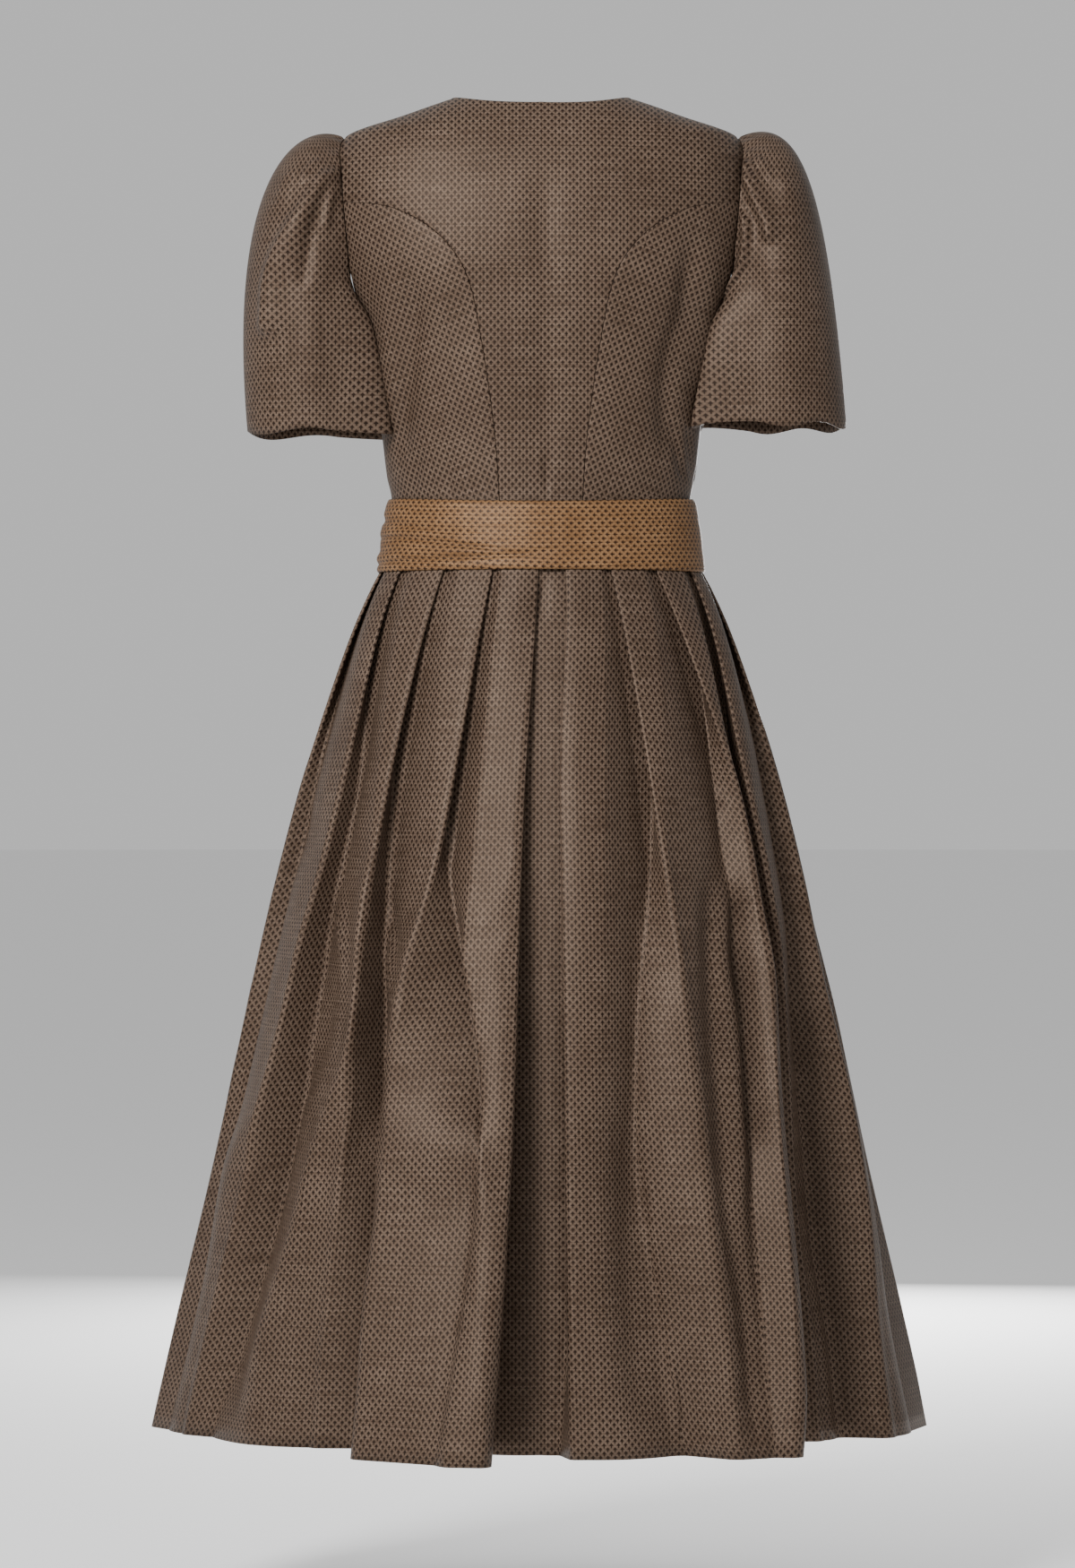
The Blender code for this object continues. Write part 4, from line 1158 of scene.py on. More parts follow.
@dataclass
class Sleeve:
    """A puff sleeve: gathered at the cap, open and slightly waved at the hem.

    Its surface runs from the armhole to the hem on curves whose handles stand out at the
    cap and point up at the hem. Shares are of the way from the armhole to the hem, and
    turns are in degrees round the arm, with the arm pit at 180.
    """

    wardrobe: Wardrobe
    side: Side
    hem_middle: float
    hem_half_width: float
    hem_height: float
    cap_out: float
    cap_rise: float
    hem_out: float
    hem_lift: float
    waves: int
    wave_turn: float
    hem_half_depth: float = 58.0
    wave_rise: float = 2.6
    cap_pit_out: float = 1.0
    cap_side_out: float = 24.0
    cap_depth: float = 26.0
    cap_side_rise: float = -8.0
    cap_pit_rise: float = -36.0
    hem_pit_out: float = 4.0
    hem_depth: float = 8.0
    hem_side_lift: float = 118.0
    hem_pit_lift: float = 43.0
    fold_start: float = 0.02
    facing_gain: float = 4.0
    gathers: int = 26
    gather_depth: float = 0.8
    gather_reach: float = 0.09
    gather_unevenness: float = 1.6
    gather_pit_cosine: float = -0.35
    gather_top_cosine: float = 0.75
    fullness: float = 0.7
    fullness_reach: float = 0.24
    fullness_start: float = 0.7
    fullness_unevenness: float = 2.0
    slow_wander: Wave = Wave(3.0, 0.9, 1.3)
    quick_wander: Wave = Wave(7.0, 0.5)
    underarm_rest: float = 0.45
    underarm_reach: float = 72.0
    underarm_fade: float = 34.0
    underarm_start: float = 0.04
    seam_share: float = 0.1
    columns: int = 288
    rows: int = 88
    row_crowding: float = 1.25
    cut_width_times: float = 1.1

    def surface(self, turns: np.ndarray, shares: np.ndarray) -> np.ndarray:
        """The sleeve's grid.

        Args:
            turns: one for each column.
            shares: one for each row.

        Returns:
            The points on the wearer's left, before the side is set.
        """
        angle = np.radians(turns)
        cosine, sine = np.cos(angle), np.sin(angle)
        upper, lower = (1 + cosine) / 2, (1 - cosine) / 2
        hem = np.stack([
            self.hem_middle + self.hem_half_width * cosine,
            self.hem_half_depth * sine,
            self.hem_height - self.wave_rise * np.cos(self.waves * np.radians(turns - self.wave_turn)),
        ], axis=1)
        cap_handle = np.stack([
            self.cap_pit_out + self.cap_out * upper + self.cap_side_out * sine ** 2,
            self.cap_depth * sine,
            round_arm(self.cap_rise, self.cap_side_rise, self.cap_pit_rise, cosine),
        ], axis=1)
        hem_handle = np.stack([
            self.hem_out * upper + self.hem_pit_out * lower,
            self.hem_depth * sine,
            round_arm(self.hem_lift, self.hem_side_lift, self.hem_pit_lift, cosine),
        ], axis=1)
        ring = armhole(turns)
        t = shares[:, None, None]
        grid = (
            (1 - t) ** 3 * ring[None]
            + 3 * (1 - t) ** 2 * t * (ring + cap_handle)[None]
            + 3 * (1 - t) * t ** 2 * (hem + hem_handle)[None]
            + t ** 3 * hem[None]
        )
        lift = self.fold_lift(grid, sine) + self.gather_lift(turns, shares)
        grid = grid + grid_normals(grid) * (lift * clamped(shares / self.fold_start)[:, None])[..., None]
        from_pit = np.abs(turns % 360.0 - 180.0)
        near = eased(clamped((self.underarm_reach - from_pit) / self.underarm_fade))[None]
        settled = clamped(shares / self.underarm_start)[:, None]
        bodice_side = torso_out(grid[..., 1], grid[..., 2]) + self.underarm_rest
        grid[..., 0] += near * settled * (bodice_side - grid[..., 0])
        return grid

    def fold_lift(self, grid: np.ndarray, sine: np.ndarray) -> np.ndarray:
        """The soft folds of the sleeve's back and front.

        Args:
            grid: the sleeve's points.
            sine: of the turn of each column, above 0 at the back.

        Returns:
            The lift of each point.
        """
        out, height = grid[..., 0], grid[..., 2]
        back = fold_offset(SLEEVE_FOLDS[self.side], out * self.side.value, height)
        front = fold_offset(SLEEVE_FRONT_FOLDS, out, height)
        return back * clamped(sine * self.facing_gain) + front * clamped(-sine * self.facing_gain)

    def gather_lift(self, turns: np.ndarray, shares: np.ndarray) -> np.ndarray:
        """The small gathers that run out from the top of the cap seam.

        Args:
            turns: one for each column.
            shares: one for each row.

        Returns:
            The lift of each point.
        """
        angle = np.radians(turns)
        wander = self.slow_wander._replace(start=self.slow_wander.start * self.side.value)
        uneven = wander.at(angle) + self.quick_wander.at(angle)
        ripple = np.sin(self.gathers * angle + self.gather_unevenness * uneven)
        coarse = np.sin(self.gathers / 2 * angle + self.fullness_unevenness * uneven + self.fullness_start)
        from_pit = np.cos(angle) - self.gather_pit_cosine
        top = clamped(from_pit / (self.gather_top_cosine - self.gather_pit_cosine))
        near_cap = bell(shares, self.gather_reach)[:, None]
        farther = bell(shares, self.fullness_reach)[:, None]
        return self.gather_depth * top[None] * (near_cap * ripple + self.fullness * farther * coarse)

    def build(self) -> None:
        """Make the sleeve, lay its pattern and finish it."""
        turns = np.linspace(-180.0, 180.0, self.columns + 1)
        grid = self.surface(turns, np.linspace(0.0, 1.0, self.rows + 1) ** self.row_crowding)
        grid[:, -1] = grid[:, 0]
        grid[0] += (grid[1] - grid[0]) * self.seam_share
        around = np.arctan2(np.abs(grid[..., 1]), grid[..., 0] - self.hem_middle)
        around = around * np.where(turns < 0.0, -1.0, 1.0)
        across = around * self.hem_half_width * -self.side.value
        node = f"sleeve_{self.side.label}"
        sheet = Sheet(
            f"{node}_cloth",
            grid * (self.side.value, 1.0, 1.0),
            uv=np.stack([across, grid[..., 2]], axis=-1),
            flip=self.side is Side.LEFT,
            closed=True,
        )
        piece = sheet.build()
        area = grid_area(grid)
        length = float(lengths_along(grid[:, self.columns // 2]).max())
        self.wardrobe.finish(piece, node, (area / length * self.cut_width_times, length), area, "gathered")


SLEEVE_FOLDS: dict[Side, tuple[Fold, ...]] = {
    Side.LEFT: (
        Fold(
            ((192.5, -64.8), (204.7, -90.0), (222.5, -118.4), (239.6, -150.9), (246.1, -175.3),
             (248.5, -224.0)),
            -9.5, 7.0, 14.0, 14.0,
        ),
        Fold(((190.0, -74.6), (204.7, -111.9), (210.3, -141.2), (216.8, -183.4)), 4.0, 6.0, 7.0, 20.0),
        Fold(((201.4, -56.7), (211.1, -68.1), (218.5, -82.7)), -2.6, 3.0, 4.0, 6.0),
        Fold(((189.2, -82.7), (193.3, -103.8), (195.7, -128.2)), -2.6, 4.0, 4.0, 12.0),
        Fold(((222.5, -60.0), (232.3, -81.9), (240.4, -110.3)), -2.0, 6.0, 8.0, 16.0),
        Fold(((200.6, -183.4), (206.3, -240.2), (204.7, -297.1)), -2.4, 16.0, 16.0, 50.0),
        Fold(((172.2, -183.4), (168.9, -232.1), (167.3, -280.9)), -2.0, 8.0, 8.0, 40.0),
    ),
    Side.RIGHT: (
        Fold(
            ((-179.5, -55.1), (-183.5, -68.1), (-189.2, -85.1), (-196.5, -103.0), (-203.8, -120.1),
             (-206.3, -138.7)),
            -8.0, 4.5, 9.0, 10.0,
        ),
        Fold(
            ((-182.7, -103.8), (-186.0, -129.0), (-183.5, -152.5), (-176.2, -170.4), (-162.4, -199.6),
             (-156.7, -220.8)),
            -6.5, 5.0, 4.0, 12.0,
        ),
        Fold(((-175.4, -74.6), (-171.4, -120.9), (-170.5, -152.5), (-164.0, -181.8)), 3.0, 4.5, 4.5, 14.0),
        Fold(((-160.0, -219.9), (-162.4, -256.5), (-161.6, -313.3)), -3.5, 10.0, 9.0, 30.0),
        Fold(((-196.5, -146.9), (-201.4, -191.5), (-204.7, -256.5)), 3.0, 14.0, 18.0, 50.0),
        Fold(((-193.3, -53.5), (-201.4, -64.8), (-209.5, -81.1)), -2.6, 3.0, 4.0, 6.0),
        Fold(((-207.9, -58.3), (-219.3, -77.8), (-227.4, -102.2)), -1.8, 6.0, 8.0, 16.0),
        Fold(((-224.1, -224.0), (-227.4, -264.6), (-227.4, -305.2)), -2.0, 14.0, 14.0, 40.0),
    ),
}
SLEEVE_FRONT_FOLDS: tuple[Fold, ...] = (
    Fold(((196.0, -62.0), (214.0, -104.0), (232.0, -150.0), (238.0, -210.0)), -8.0, 12.0, 7.0, 16.0),
    Fold(((187.0, -84.0), (196.0, -124.0), (200.0, -176.0)), -4.0, 6.0, 6.0, 14.0),
    Fold(((205.0, -60.0), (226.0, -90.0), (244.0, -130.0)), -3.0, 6.0, 5.0, 12.0),
    Fold(((180.0, -120.0), (186.0, -170.0), (182.0, -220.0)), -4.0, 7.0, 6.0, 20.0),
    Fold(((210.0, -200.0), (212.0, -250.0), (210.0, -300.0)), -2.4, 14.0, 14.0, 40.0),
)


# ---------------------------------------------------------------- skirt
CLOCKWISE, COUNTER = -1.0, 1.0
ARC_STEPS = 16
LEAST_SWING = 0.02
ROUND_STEPS = 181
STEEPEST = 0.999
BEND_LENGTH = 60.0           # this length of a line counts as much as a turn of one radian
BEND_LEAST = 0.01
SIDE_SEAM_PLACE = 2 * SIDE_SEAM_PLEAT + 3    # the hidden turn next after the side seam


def outline_points(
    table: Sequence[Outline], turns: np.ndarray, heights: np.ndarray,
) -> tuple[np.ndarray, np.ndarray]:
    """Points and outward directions of an outline.

    Args:
        table: its rings.
        turns: degrees round from the centre back, rows and columns.
        heights: one for each row.

    Returns:
        The points in plan, and their directions.
    """
    angle = np.radians(turns)
    width = read(table, "half_width", heights)[:, None]
    back = read(table, "back_depth", heights)[:, None]
    front = read(table, "front_depth", heights)[:, None]
    deep = np.where(np.cos(angle) >= 0.0, back, front)
    point = np.stack([width * np.sin(angle), deep * np.cos(angle)], axis=-1)
    normal = np.stack([deep * np.sin(angle), width * np.cos(angle)], axis=-1)
    return point, normal / np.linalg.norm(normal, axis=-1, keepdims=True)


class Section(NamedTuple):
    """Half of the skirt's section at a height, with the start of each pleat's cloth."""

    path: np.ndarray
    starts: list[int]
    edges: list[int]
    seam: int
    turns: np.ndarray
    lengths: np.ndarray


@dataclass
class HalfSkirt:
    """Half of the skirt, from the centre back to the centre front.

    The cloth runs over a roller at each pleat's outer edge and under one at its hidden
    turn. A lip is the thick pressed edge of a pleat, and sway is the faint unevenness of
    the hanging cloth.
    """

    side: Side
    least_step: float = 1.0
    clearance: float = 2.0
    entry_rolls: float = 2.6
    widest_roll: float = 3.0
    lips: tuple[float, ...] = (0.5, 1.9, 1.0, 0.0)
    lip_width: float = 3.8
    lip_place: float = 0.8
    turn_points: int = 9
    edge_points: int = 11
    panel_parts: int = 9
    facing_gain: float = 5.0
    sway_rise: float = 1.2
    sway_times: float = 9.0
    sway_twist: float = 0.011
    sway_top: float = -500.0
    sway_fade: float = 400.0
    pleat_cloth: float = 137.0

    def value(self, values: Sequence[float], height: float) -> float:
        """A pleat's value at a height, from its four."""
        return float(smooth(height, PLEAT_HEIGHTS, values))

    def groups(self, height: float, turns: np.ndarray, lengths: np.ndarray) -> list[list[Roller]]:
        """Round folds that the cloth runs over and under, from back to front.

        Args:
            height: of the section.
            turns: degrees round the outline.
            lengths: distance along the outline to each turn.

        Returns:
            The rollers of the centre back, each hidden turn and outer edge, and the centre front.
        """
        share, flat = self.value(ROLL_SHARE, height), self.value(FOLD_FLAT, height)
        pleats = PLEATS[self.side]
        rolls = [PRESSED_ROLL + (pleat.roll - PRESSED_ROLL) * share for pleat in pleats]
        edges = [float(np.interp(self.value(pleat.edge, height), turns, lengths)) for pleat in pleats]
        hidden_turns = [float(np.interp(self.value(pleat.turn, height), turns, lengths)) for pleat in pleats]
        capped = [min(roll, self.widest_roll) for roll in rolls]
        entries = [
            min(turn - self.least_step, edge - self.clearance - self.entry_rolls * roll)
            for turn, edge, roll in zip(hidden_turns, edges, capped)
        ]
        limits = entries[1:] + [float(lengths[-1])]
        groups = [[Roller(0.0, self.value(CENTRE_BACK_IN, height), 0.0, COUNTER)]]
        for number, pleat in enumerate(pleats):
            roll, edge, turn = rolls[number], edges[number], hidden_turns[number]
            turn_in = self.value(pleat.turn_in, height) - roll
            edge_in = self.value(pleat.edge_in, height) + roll
            past_turn = turn + 2.0 * capped[number] + self.clearance
            release = max(edge + self.least_step + flat, past_turn)
            release = max(edge + self.least_step, min(release, limits[number] - 2.0 * roll))
            hidden = [Roller(turn, turn_in, roll, COUNTER)]
            if number > 0 and turn_in > groups[-1][-1].into:
                hidden.insert(0, Roller(entries[number], turn_in, roll, COUNTER))
            outer = [Roller(edge, edge_in, roll, CLOCKWISE)]
            if edge_in < turn_in + 2.0 * roll:
                outer.append(Roller(release, edge_in, roll, CLOCKWISE))
            groups += [hidden, outer]
        groups.append([Roller(float(lengths[-1]), self.value(CENTRE_FRONT_IN, height), 0.0, CLOCKWISE)])
        return groups

    @staticmethod
    def heading(first: Roller, second: Roller) -> float:
        """Direction of the line that runs off one roller and onto the next.

        Args:
            first: the roller that it leaves.
            second: the roller that it meets.

        Returns:
            The direction, in radians.
        """
        ahead, rise = second.along - first.along, first.into - second.into
        sideways = second.way * second.radius - first.way * first.radius
        lean = math.asin(max(-STEEPEST, min(STEEPEST, sideways / math.hypot(ahead, rise))))
        return math.atan2(rise, ahead) - lean

    @staticmethod
    def arc(roller: Roller, before: float, after: float) -> list[tuple[float, float]]:
        """Points round a roller, the way the cloth turns.

        Args:
            roller: the roller.
            before: the direction in which the cloth comes, in radians.
            after: the direction in which it leaves.

        Returns:
            The points, along the outline and out from it.
        """
        swing = ((after - before) * roller.way + math.pi / 2) % (2 * math.pi) - math.pi / 2
        middle = before + roller.way * swing / 2.0
        swing = max(swing, LEAST_SWING)
        points = []
        for share in np.linspace(-0.5, 0.5, ARC_STEPS):
            way = middle + roller.way * swing * share
            points.append((
                roller.along + roller.way * roller.radius * math.sin(way),
                -roller.into - roller.way * roller.radius * math.cos(way),
            ))
        return points

    @staticmethod
    def by_bend(line: list[tuple[float, float]], count: int) -> np.ndarray:
        """Choose points of a line so that they follow its bends evenly.

        Args:
            line: its points.
            count: how many to choose.

        Returns:
            The chosen points.
        """
        points = np.asarray(line)
        steps = np.diff(points, axis=0)
        way = np.unwrap(np.arctan2(steps[:, 1], steps[:, 0]))
        bend = np.zeros(len(points))
        bend[1:-1] = np.abs(np.diff(way))
        least = np.linspace(0.0, BEND_LEAST, len(points))
        weight = np.cumsum(bend) + lengths_along(points) / BEND_LENGTH + least
        wanted = np.linspace(weight[0], weight[-1], count)
        return np.stack([np.interp(wanted, weight, points[:, axis]) for axis in (0, 1)], axis=1)

    @staticmethod
    def panel(start: np.ndarray, end: np.ndarray, swell: float, parts: int) -> np.ndarray:
        """Points between the two ends of a panel that bows out a little.

        Args:
            start: its first end.
            end: its second end.
            swell: how far it bows, as a share of its length.
            parts: how many parts it has.

        Returns:
            The points between the ends.
        """
        shares = np.arange(1, parts) / parts
        points = start + (end - start) * shares[:, None]
        points[:, 1] += swell * np.linalg.norm(end - start) * 4.0 * shares * (1.0 - shares)
        return points

    def section(self, height: float) -> Section:
        """Half of the skirt's section at a height.

        Args:
            height: the height.

        Returns:
            The section, with as many points at every height.
        """
        turns = np.linspace(0.0, 180.0, ROUND_STEPS)
        lengths = lengths_along(outline_points(SKIRT_OUTLINE, turns[None], np.array([height]))[0][0])
        groups = self.groups(height, turns, lengths)
        rollers = [roller for group in groups for roller in group]
        ways = [self.heading(first, second) for first, second in zip(rollers[:-1], rollers[1:])]
        swell = self.value(PANEL_SWELL, height)
        path = [np.array([[0.0, -rollers[0].into]])]
        starts, edges, number, seam = [], [], 1, 0
        for place, group in enumerate(groups[1:-1], start=1):
            line = []
            for roller in group:
                line += self.arc(roller, ways[number - 1], ways[number])
                number += 1
            is_edge = place % 2 == 0
            bent = self.by_bend(line, self.edge_points if is_edge else self.turn_points)
            if not is_edge:
                path.append(self.panel(path[-1][-1], bent[0], swell, self.panel_parts))
                if place == SIDE_SEAM_PLACE:
                    seam = sum(len(part) for part in path) - 1
            total = sum(len(part) for part in path)
            (edges if is_edge else starts).append(total + len(bent) // 2)
            path.append(bent)
        end = np.array([lengths[-1], -rollers[-1].into])
        path += [self.panel(path[-1][-1], end, swell, self.panel_parts), end[None]]
        line = np.concatenate(path)
        lip = self.value(self.lips, height)
        for start, edge, stop in zip(starts, edges, starts[1:] + [len(line)]):
            past_edge = line[start:stop, 0] - line[edge, 0] - self.lip_width * self.lip_place
            line[start:stop, 1] += lip * bell(past_edge, self.lip_width)
        return Section(line, starts, edges, seam, turns, lengths)

    def lift(self, angles: np.ndarray, out: np.ndarray, height: float) -> np.ndarray:
        """How far the worn folds and the sway stand off the section.

        Args:
            angles: degrees round from the centre back.
            out: how far out each point lies, plus towards the wearer's left.
            height: of the section.

        Returns:
            The lift of each point.
        """
        around, level = np.radians(angles), np.full(len(out), height)
        facing = np.cos(around) * self.facing_gain
        folds = fold_offset(SKIRT_FOLDS[Face.BACK], out, level) * clamped(facing)
        folds += fold_offset(SKIRT_FOLDS[Face.FRONT], out, level) * clamped(-facing)
        sway = Wave(self.sway_times, self.sway_rise, height * self.sway_twist).at(around)
        return folds + sway * clamped((self.sway_top - height) / self.sway_fade)

    def build(self, heights: np.ndarray) -> tuple[np.ndarray, np.ndarray, int]:
        """The half skirt in space and the lay of its cloth.

        Args:
            heights: one for each row.

        Returns:
            The points, the distance over the cloth at both ends of every face column, and
            the column of the side seam.
        """
        rows, cloth = [], []
        seam = 0
        for height in heights:
            section = self.section(float(height))
            seam = section.seam
            angles = np.interp(section.path[:, 0], section.lengths, section.turns)
            point, normal = outline_points(SKIRT_OUTLINE, angles[None], np.array([height]))
            plan = point[0] + normal[0] * section.path[:, 1:]
            plan = plan + normal[0] * self.lift(angles, plan[:, 0] * self.side.value, height)[:, None]
            level = np.full(len(plan), height)
            rows.append(np.column_stack([self.side.value * plan[:, 0], plan[:, 1], level]))
            along = lengths_along(plan)
            pair = np.stack([along[:-1], along[1:]], axis=1)
            stops = section.starts[1:] + [len(along) - 1]
            for number, (start, edge, stop) in enumerate(zip(section.starts, section.edges, stops), start=1):
                pair[start:stop] += self.pleat_cloth * number - along[edge]
            cloth.append(pair)
        return np.array(rows), np.array(cloth), seam


@dataclass
class Skirt:
    """The pleated skirt, back and front, joined at the sides.

    Its rows stand partly even and partly crowded at the waist. The slant is the length
    of the sloping cloth for each unit of height.
    """

    wardrobe: Wardrobe
    rows: int = 78
    even_share: float = 0.55
    crowded_share: float = 0.45
    crowding: float = 1.7
    slant: float = 1.035
    side_gap: float = 0.03
    waist_gap: float = 0.3

    def heights(self) -> np.ndarray:
        """Row heights, closer near the waist."""
        share = np.linspace(0.0, 1.0, self.rows + 1)
        return WAIST + (HEM - WAIST) * (self.even_share * share + self.crowded_share * share ** self.crowding)

    def build(self) -> None:
        """Make and finish both pieces."""
        heights = self.heights()
        left, left_cloth, left_seam = HalfSkirt(Side.LEFT).build(heights)
        right, right_cloth, right_seam = HalfSkirt(Side.RIGHT).build(heights)
        mirrored = -right_cloth[:, ::-1, ::-1]
        right_start = mirrored.shape[1] - right_seam
        back = np.concatenate([right[:, right_seam:0:-1], left[:, :left_seam + 1]], axis=1)
        back_cloth = np.concatenate([mirrored[:, right_start:], left_cloth[:, :left_seam]], axis=1)
        front = np.concatenate([left[:, left_seam:], right[:, -2:right_seam - 1:-1]], axis=1)
        front_cloth = np.concatenate([left_cloth[:, left_seam:], mirrored[:, :right_start]], axis=1)
        self.add("skirt_back", back, back_cloth, heights)
        self.add("skirt_front", front, front_cloth, heights)

    def add(self, node: str, grid: np.ndarray, cloth: np.ndarray, heights: np.ndarray) -> None:
        """Build one piece and finish it.

        Args:
            node: the solid that it stands for.
            grid: its points.
            cloth: the distance over the cloth at both ends of every face column.
            heights: one for each row.
        """
        for end, inner in ((0, 1), (-1, -2)):
            way = grid[:, inner] - grid[:, end]
            grid[:, end] += way / np.linalg.norm(way, axis=1, keepdims=True) * self.side_gap
        grid[0, :, 2] -= self.waist_gap
        along = np.broadcast_to((heights * self.slant)[:, None], grid.shape[:2])
        piece = Sheet(f"{node}_cloth", grid, face_uv=(cloth, along), offset=0.0).build()
        flat = (lengths_along(grid[-1])[-1], (WAIST - HEM) * self.slant)
        self.wardrobe.finish(piece, node, flat, grid_area(grid), "gathered")


